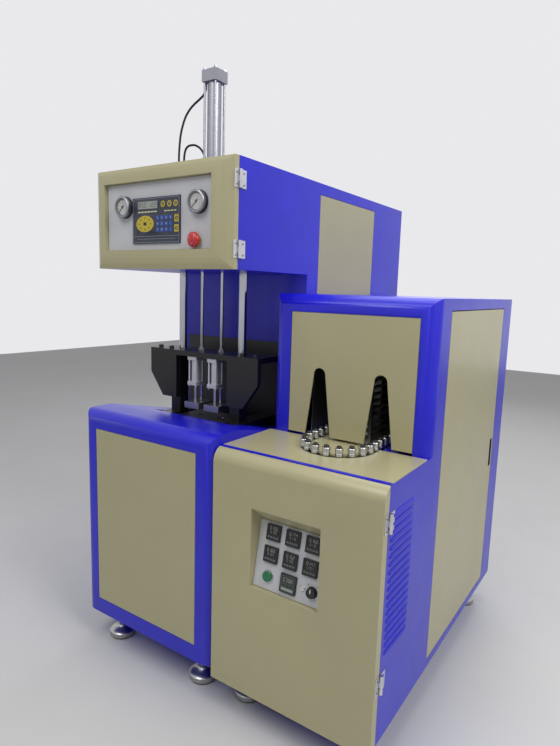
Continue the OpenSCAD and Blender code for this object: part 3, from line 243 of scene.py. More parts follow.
def dress(obj, finish):
    """Gives an object one finish."""
    obj.data.materials.clear()
    obj.data.materials.append(finish)


for name, obj in frame["nodes"].items():
    dress(obj, finish_of[slot_of[name]])


# Surfaces worked out with numpy

FRONT = (0.0, -1.0, 0.0)
BACK = (0.0, 1.0, 0.0)
SIDE = (1.0, 0.0, 0.0)
UP = (0.0, 0.0, 1.0)
DOWN = (0.0, 0.0, -1.0)


def axes_from(facing):
    """Two unit vectors across a facing direction, so that (across, up, facing) is right-handed."""
    n = np.asarray(facing, float) / np.linalg.norm(facing)
    up = np.array([0.0, 0.0, 1.0]) if abs(n[2]) < 0.9 else np.array([0.0, 1.0, 0.0])
    across = np.cross(up, n)
    across /= np.linalg.norm(across)
    return across, np.cross(n, across), n


def turned(profile, origin, axis, around):
    """A grid of a turned surface: origin + r cos(a) u + r sin(a) v + h n for each (r, h) of the profile."""
    u, v, n = axes_from(axis)
    rh = np.asarray(profile, float)[:, None, :] / 1000
    a = np.linspace(0, 2 * np.pi, around, endpoint=False)[None, :, None]
    return origin + rh[..., :1] * (np.cos(a) * u + np.sin(a) * v) + rh[..., 1:] * n


def disc(radius, low, high, origin, axis, around):
    """A grid of a closed round bar or disc between two heights on its axis."""
    return turned([(0, low), (radius, low), (radius, high), (0, high)], origin, axis, around)


def plate(width, height, corner, steps, origin, facing, per_corner):
    """A grid of a plate with round corners: origin + px across + py up + rise n.

    px = sx (width / 2 - corner) + (corner - inset) cos(a), py likewise with height and sin(a), with
    one outline for each step (inset, rise). The first and the last outline close on their middle.
    """
    across, up, n = axes_from(facing)
    k = np.arange(4 * per_corner)
    quarter = (k // per_corner) * (np.pi / 2)
    a = quarter + (k % per_corner) / (per_corner - 1) * np.pi / 2
    sx = np.sign(np.cos(quarter + np.pi / 4))
    sy = np.sign(np.sin(quarter + np.pi / 4))
    rows = [(*steps[0], 0.0), *[(*step, 1.0) for step in steps], (*steps[-1], 0.0)]
    grid = []
    for inset, rise, spread in rows:
        px = (sx * (width / 2 - corner) + (corner - inset) * np.cos(a)) * spread
        py = (sy * (height / 2 - corner) + (corner - inset) * np.sin(a)) * spread
        grid.append(origin + (px[:, None] * across + py[:, None] * up + rise * n) / 1000)
    return np.array(grid)


def tube(path, radius):
    """A grid of a round tube: rings of r (cos(a) u + sin(a) v) about the path, u carried without twist."""
    around = 20
    p = np.asarray(path, float)
    t = np.gradient(p, axis=0)
    t /= np.linalg.norm(t, axis=1)[:, None]
    u = np.zeros_like(p)
    u[0] = axes_from(t[0])[0]
    for i in range(1, len(p)):
        w = u[i - 1] - np.dot(u[i - 1], t[i]) * t[i]
        u[i] = w / np.linalg.norm(w)
    v = np.cross(t, u)
    a = np.linspace(0, 2 * np.pi, around, endpoint=False)[None, :, None]
    rings = p[:, None, :] + radius / 1000 * (np.cos(a) * u[:, None] + np.sin(a) * v[:, None])
    ends = np.repeat(p[[0, -1]][:, None, :], around, axis=1)
    return np.concatenate([ends[:1], rings, ends[1:]])


def smooth_path(points, steps):
    """Points on a Catmull-Rom curve through the given ones, with so many steps from one to the next."""
    p = np.asarray(points, float)
    p = np.concatenate([2 * p[:1] - p[1:2], p, 2 * p[-1:] - p[-2:-1]])
    s = np.linspace(0, 1, steps, endpoint=False)[:, None]
    parts = [
        0.5 * (2 * b + (c - a) * s + (2 * a - 5 * b + 4 * c - d) * s**2 + (3 * b - a - 3 * c + d) * s**3)
        for a, b, c, d in zip(p[:-3], p[1:-2], p[2:-1], p[3:])
    ]
    return np.concatenate([*parts, p[-2:-1]])


def finished(name, mesh, sharp, finish):
    """An object of a mesh with smooth faces, sharp edges above an angle in degrees and one finish."""
    mesh.shade_smooth()
    mesh.set_sharp_from_angle(angle=math.radians(sharp))
    made = bpy.data.objects.new(name, mesh)
    bpy.context.scene.collection.objects.link(made)
    dress(made, finish)
    return made


def piece(name, grids, finish, body, sharp=35.0):
    """Joins grids, each closed round its second direction, into one mesh that rides on a body."""
    points, faces, base = [], [], 0
    for g in grids:
        rows, cols = g.shape[:2]
        i, j = np.meshgrid(np.arange(rows - 1), np.arange(cols), indexing="ij")
        k = (j + 1) % cols
        quads = np.stack([i * cols + j, i * cols + k, (i + 1) * cols + k, (i + 1) * cols + j], axis=-1)
        points.append(g.reshape(-1, 3))
        faces.append(quads.reshape(-1, 4) + base)
        base += rows * cols
    mesh = bpy.data.meshes.new(name)
    mesh.from_pydata(np.concatenate(points).tolist(), [], np.concatenate(faces).tolist())
    merged = bmesh.new()
    merged.from_mesh(mesh)
    bmesh.ops.remove_doubles(merged, verts=merged.verts, dist=1e-6)
    bmesh.ops.dissolve_degenerate(merged, edges=merged.edges, dist=1e-7)
    bmesh.ops.recalc_face_normals(merged, faces=merged.faces)
    merged.to_mesh(mesh)
    merged.free()
    made = finished(name, mesh, sharp, finish)
    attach(made, body)
    return made


def softened(node_name, width_mm, finish=None, crease=40.0):
    """Stands for a CAD node with its own merged copy, whose sharp edges are rolled over by a small bevel."""
    mesh = frame["nodes"][node_name].data.copy()
    merged = bmesh.new()
    merged.from_mesh(mesh)
    bmesh.ops.remove_doubles(merged, verts=merged.verts, dist=2e-6)
    flat = math.radians(0.5)
    bmesh.ops.dissolve_limit(merged, angle_limit=flat, verts=merged.verts, edges=merged.edges)
    merged.to_mesh(mesh)
    merged.free()
    made = finished(node_name + "_edges", mesh, crease, finish or finish_of[slot_of[node_name]])
    edge_roll = made.modifiers.new("edge_roll", "BEVEL")
    edge_roll.width = width_mm / 1000
    edge_roll.segments = 2
    edge_roll.limit_method = "ANGLE"
    edge_roll.angle_limit = math.radians(crease)
    edge_roll.harden_normals = True
    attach(made, body_of[node_name])
    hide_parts(node_name)
    return made


edge_width_mm = {
    "base_cabinet": 1.0,
    "base_front_panel": 1.0,
    "upper_housing": 1.5,
    "column_side_panel": 1.0,
    "rear_panels": 1.0,
    "instrument_plate": 0.4,
    "gauge_cases": 0.6,
    "control_panel": 0.5,
    "foot_cups": 0.8,
    "foot_pads": 1.0,
    "stretch_cylinder_caps": 1.0,
    "stretch_cylinder_barrel": 0.5,
    "stretch_rods": 0.3,
    "stretch_crosshead": 1.0,
    "guide_columns": 0.6,
    "hose_fittings": 0.5,
    "press_bed": 1.0,
    "press_posts": 1.0,
    "press_top_plate": 1.0,
    "rod_glands": 0.5,
    "seal_cylinders": 0.7,
    "left_nozzle": 0.8,
    "right_nozzle": 0.8,
    "oven_cabinet": 1.0,
    "oven_front_panel": 0.8,
    "oven_front_door": 1.5,
    "controller_plate": 0.4,
    "controllers": 1.0,
    "start_button": 0.8,
    "selector_knob": 1.0,
    "hinge_leaves": 0.5,
    "head_hinge_knuckles": 0.5,
    "oven_hinge_knuckles": 0.5,
    "oven_side_door": 1.2,
    "oven_table": 0.6,
    "slot_edging": 0.5,
    "chain_guard": 1.0,
    "stop_button": 0.6,
    "front_mould_half": 0.8,
    "rear_mould_half": 0.8,
    "front_platen": 1.0,
    "rear_platen": 1.0,
    "clamp_cylinder": 1.0,
    "clamp_tie_bars": 0.6,
    "clamp_piston": 0.6,
}
own_finish = {
    "guide_columns": ground_steel,
    "stretch_rods": ground_steel,
    "gauge_cases": anodised,
    "seal_cylinders": cast_aluminium,
    "foot_cups": zinc_plate,
}
for name, width in edge_width_mm.items():
    softened(name, width, own_finish.get(name))
softened("head_door", 1.2, crease=11.0)


# Small shapes


def slab(width, height, thick, centre, facing, corner=0.8, edge=0.2, per_corner=4):
    """A grid of a small plate with round corners and rolled front edges that stands on its centre."""
    steps = [(0, 0), (0, thick - edge), (edge, thick)]
    return plate(width, height, corner, steps, centre, facing, per_corner)


def band(radius, half_width, start, end, thick, centre, facing, steps):
    """A flat band on an arc: at the angle a its edges lie at radius -/+ w.

    w is half_width, or half_width(t) where that is a function, with t from 0 to 1 along the band.
    """
    across, up, n = axes_from(facing)
    t = np.linspace(0, 1, steps)
    a = np.radians(start + (end - start) * t)
    w = half_width(t) if callable(half_width) else np.full(steps, float(half_width))
    out = np.stack([radius - w, radius - w, radius + w, radius + w], axis=1)[:, :, None] / 1000
    rise = np.array([0.0, thick, thick, 0.0])[None, :, None] / 1000
    ring = np.cos(a)[:, None, None] * across + np.sin(a)[:, None, None] * up
    grid = centre + out * ring + rise * n
    ends = np.repeat(grid[[0, -1]].mean(axis=1, keepdims=True), 4, axis=1)
    return np.concatenate([ends[:1], grid, ends[1:]])


def shifted(centre, facing, right, high, out=0.0):
    """A place moved on a face by millimetres to the right, up and out of it."""
    across, up, n = axes_from(facing)
    return centre + (right * across + high * up + out * n) / 1000


def lifted(place, facing, out):
    """A place moved straight out of a face."""
    return shifted(place, facing, 0, 0, out)


# Segments of each numeral, and the place of each segment in shares of the numeral's width and height
SEGMENTS = {
    "0": "abcdef",
    "1": "bc",
    "2": "abdeg",
    "3": "abcdg",
    "4": "bcfg",
    "5": "acdfg",
    "6": "acdefg",
    "7": "abc",
    "8": "abcdefg",
    "9": "abcdfg",
}
LYING = {"a": (0, 0.5), "d": (0, -0.5), "g": (0, 0)}
STANDING = {"b": (0.5, 0.25), "c": (0.5, -0.25), "e": (-0.5, -0.25), "f": (-0.5, 0.25)}


def numerals(text, height, centre, facing):
    """Grids of seven-segment numerals in a row about a place."""
    wide = height * 0.5
    stroke = height * 0.11
    step = height * 0.8
    thick = 0.1
    edge = thick * 0.3
    corner = stroke * 0.3
    trimmed = stroke * 1.2
    grids = []
    for k, digit in enumerate(text):
        middle = (k - (len(text) - 1) / 2) * step
        for s in SEGMENTS.get(digit, ""):
            x, y = LYING.get(s) or STANDING[s]
            size = (wide - trimmed, stroke) if s in LYING else (stroke, height * 0.5 - trimmed)
            place = shifted(centre, facing, middle + x * wide, y * height)
            grids.append(slab(*size, thick, place, facing, corner, edge, 2))
    return grids


def words(name, labels, size_mm, facing, finish, body):
    """Numbers in the plain built-in face: each (text, place) is a thin mesh that then takes its place."""
    turn = Matrix(axes_from(facing)).transposed().to_4x4()
    ink_mm = 0.04
    gathered = bmesh.new()
    for text, place in labels:
        curve = bpy.data.curves.new(name, "FONT")
        curve.body = text
        curve.size = size_mm / 1000
        curve.align_x = "CENTER"
        curve.align_y = "CENTER"
        curve.resolution_u = 3
        curve.extrude = ink_mm / 1000
        holder = bpy.data.objects.new(name, curve)
        flat = bpy.data.meshes.new_from_object(holder)
        flat.transform(Matrix.Translation(place) @ turn)
        gathered.from_mesh(flat)
        bpy.data.objects.remove(holder)
    mesh = bpy.data.meshes.new(name)
    gathered.to_mesh(mesh)
    gathered.free()
    label = bpy.data.objects.new(name, mesh)
    bpy.context.scene.collection.objects.link(label)
    dress(label, finish)
    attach(label, body)


# Gauges

instrument_y = 92.0
dial_y = instrument_y - 16.0
glass_y = 69.2
gauge_z = 1613.0
dial_radius = 28.8
glass_radius = 29.0
enamel = 0.06
dial_ink = 0.05
first_mark = 225
mark_step = 6.75
mark_count = 41
marks_a_number = 5
# Middle radius and half length in millimetres and half width in degrees
long_mark = (22.6, 2.4, 1.0)
short_mark = (23.4, 1.3, 0.45)
edge_ring = (26.9, 1.8)
number_radius = 16.4
number_drop = 1.8
number_size = 5.4
number_out = 0.1
glass_thick = 0.8
flange = [(33.2, 0), (36.6, 0.3), (37.0, 2.5), (35.5, 3.2), (33.2, 3.0), (33.2, 0)]

for gauge, x in (("left", 139.0), ("right", 480.0)):
    dial = at(x, dial_y, gauge_z)
    face = [disc(dial_radius, 0, enamel, dial, FRONT, 64)]
    piece(gauge + "_dial", face, dial_enamel, "head_door")

    printed = lifted(dial, FRONT, enamel)
    scale = []
    for k in range(mark_count):
        radius, half_length, half_turn = short_mark if k % marks_a_number else long_mark
        a = first_mark - k * mark_step
        scale.append(band(radius, half_length, a - half_turn, a + half_turn, dial_ink, printed, FRONT, 2))
    scale.append(band(*edge_ring, first_mark, first_mark - 360, dial_ink, printed, FRONT, 90))
    piece(gauge + "_scale", scale, black_print, "head_door")

    numbers = []
    for k in range(0, mark_count, marks_a_number):
        a = math.radians(first_mark - k * mark_step)
        high = number_radius * math.sin(a) - number_drop
        place = shifted(dial, FRONT, number_radius * math.cos(a), high, number_out)
        numbers.append((str(2 * k // marks_a_number), place))
    words(gauge + "_numbers", numbers, number_size, FRONT, black_print, "head_door")

    glass = [disc(glass_radius, 0, glass_thick, at(x, glass_y, gauge_z), FRONT, 64)]
    piece(gauge + "_glass", glass, lens, "head_door")
    ring = [turned(flange, at(x, instrument_y, gauge_z), FRONT, 64)]
    piece(gauge + "_flange", ring, black_abs, "head_door")


# Membrane panel

panel_left = 177.0
panel_foot = 1489.0
field_y = 86.0
film_y = 87.0
ink = 0.12
fine_ink = 0.08
line_ink = 0.1


def panel(right, high, out=0.0):
    """A place on the raised fields of the membrane panel, from its lower left corner."""
    return at(panel_left + right, field_y - out, panel_foot + high)


def film(right, high):
    """A place on the panel's film between the raised fields."""
    return at(panel_left + right, film_y, panel_foot + high)


def fields(size, places, corner):
    """Grids of equal printed fields that stand on places of the panel."""
    return [slab(*size, ink, p, FRONT, corner, 0.05) for p in places]


def lines(size, places, corner=0.4):
    """Grids of equal thin lines, or of bars that stand for captions, on places of the panel's film."""
    return [slab(*size, line_ink, film(*p), FRONT, corner, 0.03) for p in places]


display_middle = (75, 126)
display_size = (94, 24)
digit_height = 15
window = fields(display_size, [panel(*display_middle)], 2)
piece("panel_window", window, lcd_grey, "head_door")
digits = numerals("0850 1225", digit_height, panel(*display_middle, ink), FRONT)
piece("panel_digits", digits, black_print, "head_door")

round_radius = 10.0
centre_radius = 5.6
centre_ink = 0.1
bar_size = (1.6, 5.5, 0.06)
round_keys = [panel(x, 126) for x in (147, 177, 205)]
discs = [disc(round_radius, 0, ink, p, FRONT, 40) for p in round_keys]
piece("panel_round_keys", discs, yellow_print, "head_door")
centres = [disc(centre_radius, 0, centre_ink, lifted(p, FRONT, ink), FRONT, 32) for p in round_keys]
piece("panel_round_centres", centres, black_print, "head_door")
bars = [slab(*bar_size, lifted(p, FRONT, ink + centre_ink), FRONT, 0.4, 0.02) for p in round_keys]
piece("panel_round_marks", bars, white_print, "head_door")

pad_middle = (62, 65)
pad_half = (42, 27)
dots_half = (28, 18.5)
dot_radius = 2.6
dot_count = 8
middle_size = (15, 11, fine_ink)


def on_pad(half, a, share=1, out=0.0):
    """A place on an oval about the pad's middle, at an angle and a share of its half sizes."""
    right = pad_middle[0] + share * half[0] * math.cos(a)
    return panel(right, pad_middle[1] + share * half[1] * math.sin(a), out)


ring = np.linspace(0, 2 * np.pi, 48, endpoint=False)
outline = ((0, 0), (1, 0), (1, ink), (0, ink))
oval = np.array([[on_pad(pad_half, a, share, out) for a in ring] for share, out in outline])
piece("panel_pad", [oval], yellow_print, "head_door")
pad_marks = [slab(*middle_size, panel(*pad_middle, ink), FRONT, 2.5, 0.03)]
for a in np.linspace(0, 2 * np.pi, dot_count, endpoint=False):
    pad_marks.append(disc(dot_radius, 0, fine_ink, on_pad(dots_half, a, out=ink), FRONT, 20))
piece("panel_pad_marks", pad_marks, black_print, "head_door")

first_key = (122.5, 44.5)
key_step = (20, 19)
key_size = (16, 14)
key_number_size = 9.0
key_number_out = 0.16
key_spots = [(i * key_step[0], j * key_step[1]) for j in range(3) for i in range(4)]
keys = [panel(first_key[0] + right, first_key[1] + high) for right, high in key_spots]
piece("panel_keys", fields(key_size, keys, 1.5), blue_print, "head_door")
key_labels = [(t, lifted(p, FRONT, key_number_out)) for t, p in zip("789-456.1230", keys)]
words("panel_key_numbers", key_labels, key_number_size, FRONT, white_print, "head_door")

square_size = (19, 23)
squares = [panel(209, 47), panel(209, 79)]
piece("panel_squares", fields(square_size, squares, 1.5), yellow_print, "head_door")
washer = [(3.0, 0), (6.0, 0), (6.0, fine_ink), (3.0, fine_ink), (3.0, 0)]
rings = [turned(washer, lifted(p, FRONT, ink), FRONT, 24) for p in squares]
piece("panel_square_marks", rings, black_print, "head_door")

title_row = 104
long_title = (12.5, 4.0)
short_title = (11, 3.4)
titles = lines(long_title, [(34 + 15.4 * k, title_row) for k in range(6)])
titles += lines(short_title, [(158 + 14.5 * k, title_row) for k in range(4)])
piece("panel_titles", titles, cream_print, "head_door")
dash = (10, 1.2)
level_line = (215, 0.9)
upright_line = (0.9, 143)
dashes = lines(dash, [(30 + 13.8 * k, 15) for k in range(13)])
dashes += lines(level_line, [(111.5, high) for high in (4, 24, 147)], 0.3)
dashes += lines(upright_line, [(right, 75.5) for right in (4, 219)], 0.3)
piece("panel_lines", dashes, faint_print, "head_door")


# Stop button


def lobed(profile, origin, facing, lobes):
    """A grid of a turned cap: origin + q (cos(a) u + sin(a) v) + h n with q = r (1 + e cos(lobes a)).

    Each row of the profile is (r, h, e).
    """
    u, v, n = axes_from(facing)
    rows = np.asarray(profile, float)[:, None, :]
    a = np.linspace(0, 2 * np.pi, 96, endpoint=False)[None, :]
    q = rows[..., 0] * (1 + rows[..., 2] * np.cos(lobes * a)) / 1000
    round_axis = np.cos(a)[..., None] * u + np.sin(a)[..., None] * v
    return origin + q[..., None] * round_axis + rows[..., 1:2] * n / 1000


def arrow(t):
    """Half the width of an arrow with a tapering head."""
    shaft_share = 0.66
    shaft_half = 0.9
    head_half = 3.0
    return np.where(t < shaft_share, shaft_half, head_half * (1 - t) / (1 - shaft_share))


stop_x = 467.0
stop_z = 1497.0
stop = at(stop_x, 84.0, stop_z)
cap = [
    (0, 0, 0),
    (21.5, 0, 0),
    (23.6, 1.6, 0.0),
    (23.8, 5, 0.02),
    (23.2, 9, 0.05),
    (20.0, 13.0, 0.07),
    (14.5, 15.6, 0.06),
    (8, 17.4, 0.03),
    (0, 18, 0),
]
neck_radius = 7.5
neck_length = 13
mushroom = [lobed(cap, stop, FRONT, 3), disc(neck_radius, -neck_length, 0, stop, FRONT, 32)]
stop_cap = piece("stop_cap", mushroom, red_cap, "stop_button", sharp=50)
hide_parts("stop_button")
arrow_radius = 12.0
arrow_sweep = 82
arrow_place = lifted(stop, FRONT, 16.4)
starts = (90, 210, 330)
arrows = [band(arrow_radius, arrow, a, a - arrow_sweep, 0.1, arrow_place, FRONT, 40) for a in starts]
piece("stop_arrows", arrows, white_print, "stop_button")
collar = [(9, 0), (19.5, 0), (19.5, 1.6), (17.5, 2.6), (9, 2.6), (9, 0)]
collar_ring = [turned(collar, at(stop_x, instrument_y, stop_z), FRONT, 64)]
piece("stop_collar", collar_ring, yellow_print, "head_door")


# Oven controls on the leaning plate

lean = math.atan(39 / 201)
LEANING = (0.0, -math.cos(lean), math.sin(lean))
board_foot = at(778.0, 13.0, 463.0)


def board(right, high, out=0.0):
    """A place on the leaning plate from its foot's left end."""
    return shifted(board_foot, LEANING, right, high, out)


def raised(size, places, corner, edge=0.2):
    """Grids of equal small plates (width, height, thickness) that stand on places of the leaning plate."""
    return [slab(*size, p, LEANING, corner, edge) for p in places]


def bezel(inner, outer, high, place, around):
    """The grid of a bezel ring with a chamfered outer edge."""
    chamfer = 1.2
    shoulder = high * 0.6
    edge = [(outer, 0), (outer, shoulder), (outer - chamfer, high)]
    return [turned([(inner, 0), *edge, (inner, high), (inner, 0)], place, LEANING, around)]


# A controller's face: sizes are (width, height, thickness), rises are measured from its middle
case_out = 8
level_lip = (47.6, 2.0, 0.8)
upright_lip = (2.0, 43.4, 0.8)
lip_reach = 22.6
window_size = (40, 25, 0.4)
window_rise = 7.5
window_out = case_out + 0.4
value_height = 9.0
value_rise = 12.8
set_height = 7.0
set_rise = 1.4
set_above_value = 4
soft_key_size = (7.4, 5.2, 0.9)
soft_key_rise = -13.5
windows, values, set_values, soft_keys, lips = [], [], [], [], []
readings = {
    (55, 173): "0186",
    (123, 173): "0174",
    (191, 173): "0168",
    (55, 108): "0160",
    (123, 108): "0152",
    (191, 108): "0147",
}
for (x, s), value in readings.items():
    lips += raised(level_lip, [board(x, s + k, case_out) for k in (lip_reach, -lip_reach)], 0.5)
    lips += raised(upright_lip, [board(x + k, s, case_out) for k in (lip_reach, -lip_reach)], 0.5)
    windows += raised(window_size, [board(x, s + window_rise, case_out)], 1.0, 0.15)
    values += numerals(value, value_height, board(x + 1, s + value_rise, window_out), LEANING)
    set_value = str(int(value) + set_above_value).zfill(4)
    set_values += numerals(set_value, set_height, board(x + 1, s + set_rise, window_out), LEANING)
    spots = [board(x + k, s + soft_key_rise, case_out) for k in (-15, -5, 5, 15)]
    soft_keys += raised(soft_key_size, spots, 1.2, 0.3)
piece("controller_frames", lips, black_abs, "oven_front_door")
piece("controller_windows", windows, display_window, "oven_front_door")
piece("controller_values", values, value_segment, "oven_front_door")
piece("controller_set_values", set_values, set_segment, "oven_front_door")
piece("controller_keys", soft_keys, soft_key, "oven_front_door")

meter_x = 126
meter_middle = 42
display_high = 53
face_out = case_out + 0.5
display_out = face_out + 0.3
meter_face = raised((47, 47, 0.5), [board(meter_x, meter_middle, case_out)], 1.5)
piece("meter_face", meter_face, meter_green, "oven_front_door")
meter_window = raised((38, 17, 0.3), [board(meter_x, display_high, face_out)], 1.0, 0.1)
piece("meter_window", meter_window, display_window, "oven_front_door")
meter_values = numerals("0388", 10.5, board(meter_x, display_high, display_out), LEANING)
piece("meter_values", meter_values, value_segment, "oven_front_door")
meter_label = raised((40, 7, 0.2), [board(meter_x, 26, face_out)], 1.0, 0.1)
piece("meter_label", meter_label, lcd_grey, "oven_front_door")
meter_keys = raised((8, 5, 0.8), [board(meter_x + k, 37.5, face_out) for k in (-13, 0, 13)], 1.2, 0.3)
piece("meter_keys", meter_keys, black_abs, "oven_front_door")

selector_x = 205
row_high = 42
knob_out = 15
end_aside = 14
end_high = 60
start_ring = bezel(16.5, 19.5, 5.5, board(53, row_high), 64)
piece("start_bezel", start_ring, chrome, "oven_front_door")
selector_ring = bezel(14.3, 17.0, 3.0, board(selector_x, row_high), 64)
piece("selector_bezel", selector_ring, black_abs, "oven_front_door")
lamp_ring = bezel(6.7, 9.0, 3.0, board(173, 44), 40)
piece("lamp_bezel", lamp_ring, chrome, "oven_front_door")
mark = raised((3.0, 11.5, 0.15), [board(selector_x, 48, knob_out)], 0.4, 0.05)
piece("selector_mark", mark, white_print, "selector_knob")
ends = [(text, board(selector_x + k, end_high, 0.1)) for text, k in (("0", -end_aside), ("1", end_aside))]
words("selector_numbers", ends, 8.0, LEANING, black_print, "oven_front_door")


# Louvres on the oven's side

louvre_count = 18
louvre_step = 23
top_louvre_z = 782.0
louvre_front = 50.0
louvre_back = 210.0
louvre_x = 1193.9


def hood(top):
    """A grid of a pressed louvre: out = bulge f(s) sin(q), down = drop (1 - cos(q)), f = (1 - s^8)^0.5."""
    drop = 9.0
    bulge = 5.5
    skin = 1.2
    overlap = 3
    lift = 1.5
    s = np.linspace(-1, 1, 28)
    f = np.sqrt(np.clip(1 - s**8, 0, 1))[:, None]
    q = np.linspace(0, np.pi / 2, 7)
    outer = np.stack([bulge * np.sin(q), -drop * (1 - np.cos(q))])
    inner = np.stack([(bulge - skin) * np.sin(q[::-1]), -drop * (1 - np.cos(q[::-1]))])
    loop = np.concatenate([outer, inner], axis=1)
    x = louvre_x + f * loop[0][None, :]
    z = top + lift + loop[1][None, :] + 0 * f
    half_length = (louvre_back - louvre_front) / 2 + overlap
    y = (louvre_front + louvre_back) / 2 + s[:, None] * half_length + 0 * z
    return np.moveaxis(at(x, y, z), 0, -1)


hoods = [hood(top_louvre_z - louvre_step * k) for k in range(louvre_count)]
piece("louvre_hoods", hoods, blue_coat, "frame")


# Hoses

port_x = 271.5
hose_y = 348.0
head_top_z = 1741.0
hose_rise = 326.0
hose_radius = 3.95
main_gland_x = 142.0
branch_gland_x = 166.0
share_main = [
    (0, 0),
    (0, 0.135),
    (-0.015, 0.268),
    (0.008, 0.403),
    (0.054, 0.526),
    (0.138, 0.628),
    (0.254, 0.717),
    (0.415, 0.785),
    (0.585, 0.83),
    (0.754, 0.864),
    (0.892, 0.895),
    (0.969, 0.925),
    (1, 0.952),
    (1, 1),
]
share_branch = [
    (0, 0),
    (0, 0.14),
    (0.01, 0.26),
    (0.06, 0.34),
    (0.17, 0.382),
    (0.35, 0.394),
    (0.55, 0.385),
    (0.75, 0.35),
    (0.9, 0.3),
    (0.98, 0.245),
    (1, 0.195),
    (1, 0.15),
]


def hose(shares, gland_x):
    """A grid of a hose between its gland and the port, from shares of the way across and up."""
    across = port_x - gland_x
    route = [at(gland_x + a * across, hose_y, head_top_z + b * hose_rise) for a, b in shares]
    return tube(smooth_path(route, 6), hose_radius)


both_hoses = [hose(share_main, main_gland_x), hose(share_branch, branch_gland_x)]
hoses = piece("air_hose_tubes", both_hoses, rubber, "frame")
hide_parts("air_hoses")


# Chain holders

chain_x = 924.0
front_turn_y = 251.0
turn_radius = 107.5
holder_pitch = 38.0
holder_count = 60
holder_z = 838.0
straight = (holder_count * holder_pitch - 2 * turn_radius * math.pi) / 2


def on_oval(s):
    """The place on the chain's oval at a length from the right run's front end, by the back and the left."""
    half = math.pi * turn_radius
    s = s % (2 * straight + 2 * half)
    if s < straight:
        return turn_radius, s
    if s < straight + half:
        a = (s - straight) / turn_radius
        return turn_radius * math.cos(a), straight + turn_radius * math.sin(a)
    if s < 2 * straight + half:
        return -turn_radius, straight - (s - straight - half)
    a = (s - 2 * straight - half) / turn_radius
    return -turn_radius * math.cos(a), -turn_radius * math.sin(a)


spots = [on_oval(k * holder_pitch) for k in range(holder_count)]
holders = [at(chain_x + x, front_turn_y + y, holder_z) for x, y in spots]
sleeve = [
    (0, 32),
    (12.0, 32),
    (12.4, 32.5),
    (12.4, 40),
    (11.6, 40.8),
    (11.6, 43.0),
    (12.4, 43.8),
    (12.4, 54.8),
    (11.6, 55.9),
    (0, 56),
]
stem = [(0, 0.1), (3.9, 0.1), (3.9, 6.2), (4.9, 6.3), (4.9, 32), (0, 32)]
nose = [(0, 56), (7.9, 56), (7.9, 60.5), (6.6, 62.6), (4.0, 62.9), (0, 62.9)]
sleeve_grids = [turned(sleeve, p, UP, 24) for p in holders]
sleeves = piece("holder_sleeves", sleeve_grids, holder_metal, "frame")
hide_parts("preform_holders")
piece("holder_stems", [turned(stem, p, UP, 12) for p in holders], machined, "frame")
piece("holder_noses", [turned(nose, p, UP, 18) for p in holders], black_abs, "frame")


# Dark band round the front of the chain's slot: painted shade for the shadowed gap at the slot's edge

table_top_z = 868.0
shade_line_middle = 116.8
shade_line_width = 3.6
shade_line_rise = 0.6
shade_line_length = 50
shade_line_centre = at(chain_x, front_turn_y, table_top_z)
# A thin black band on the table paints the shadow in the gap round the slot
lip = [band(shade_line_middle, shade_line_width / 2, 180, 360, shade_line_rise, shade_line_centre, UP, 60)]
for k in (-1, 1):
    shade_line_end = at(chain_x + k * shade_line_middle, front_turn_y + shade_line_length / 2, table_top_z)
    lip.append(slab(shade_line_width, shade_line_length, shade_line_rise, shade_line_end, UP, 0.2, 0.1))
piece("slot_edge_painted_shade", lip, rubber, "frame")


# Black sheets inside the side door's sunk grip: painted shade for the dark inside of the recess

oven_side_x = 1194
grip_front = 1065.0
grip_foot = 655
grip_wide = 30
grip_tall = 114
grip_deep = 14
shade_sheet_thick = 0.5
shade_sheet_deep = grip_deep - 0.4
grip_x = oven_side_x - grip_deep / 2
grip_y = grip_front + grip_wide / 2
grip_z = grip_foot + grip_tall / 2
walls = [
    (grip_wide, grip_tall, at(oven_side_x - grip_deep, grip_y, grip_z), SIDE),
    (shade_sheet_deep, grip_tall, at(grip_x, grip_y + grip_wide / 2, grip_z), FRONT),
    (shade_sheet_deep, grip_tall, at(grip_x, grip_y - grip_wide / 2, grip_z), BACK),
    (shade_sheet_deep, grip_wide, at(grip_x, grip_y, grip_z - grip_tall / 2), UP),
    (shade_sheet_deep, grip_wide, at(grip_x, grip_y, grip_z + grip_tall / 2), DOWN),
]
# Thin black sheets on the grip's back and walls paint the recess's shade
grip_shade_sheets = [slab(width, height, shade_sheet_thick, place, facing, 0.2, 0.1) for width, height, place, facing in walls]
piece("grip_painted_shade", grip_shade_sheets, black_abs, "oven_side_door")


# Lamps in the oven

lamp_aside = 57.5
lamp_foot_z = 904.0
lamp_step = 24
lamp_radius = 5
lamps_high = 8
lamp_front = 328.0
lamp_back = front_turn_y + straight - 60.0
lamp_long = lamp_back - lamp_front
glass_inset = 16
lamp_heights = [lamp_foot_z + lamp_step * i for i in range(lamps_high)]
lamps = [(chain_x + s * lamp_aside, z) for s in (-1, 1) for z in lamp_heights]
glass_end = lamp_long - glass_inset
tube_grids = [disc(lamp_radius, glass_inset, glass_end, at(x, lamp_front, z), BACK, 20) for x, z in lamps]
# The tubes take a quartz colour darkened to paint the shade inside the oven
tubes = piece("quartz_tubes", tube_grids, quartz_in_painted_shade, "frame")
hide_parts("lamp_tubes")
lamp_end = [(0, 0), (3.6, 0), (5.0, 1.0), (5.0, 17.5), (0, 17.5)]
lamp_ends = [turned(lamp_end, at(x, lamp_front, z), BACK, 16) for x, z in lamps]
lamp_ends += [turned(lamp_end, at(x, lamp_back, z), FRONT, 16) for x, z in lamps]
piece("lamp_ends", lamp_ends, steatite, "frame")


# Screws in the hinge leaves

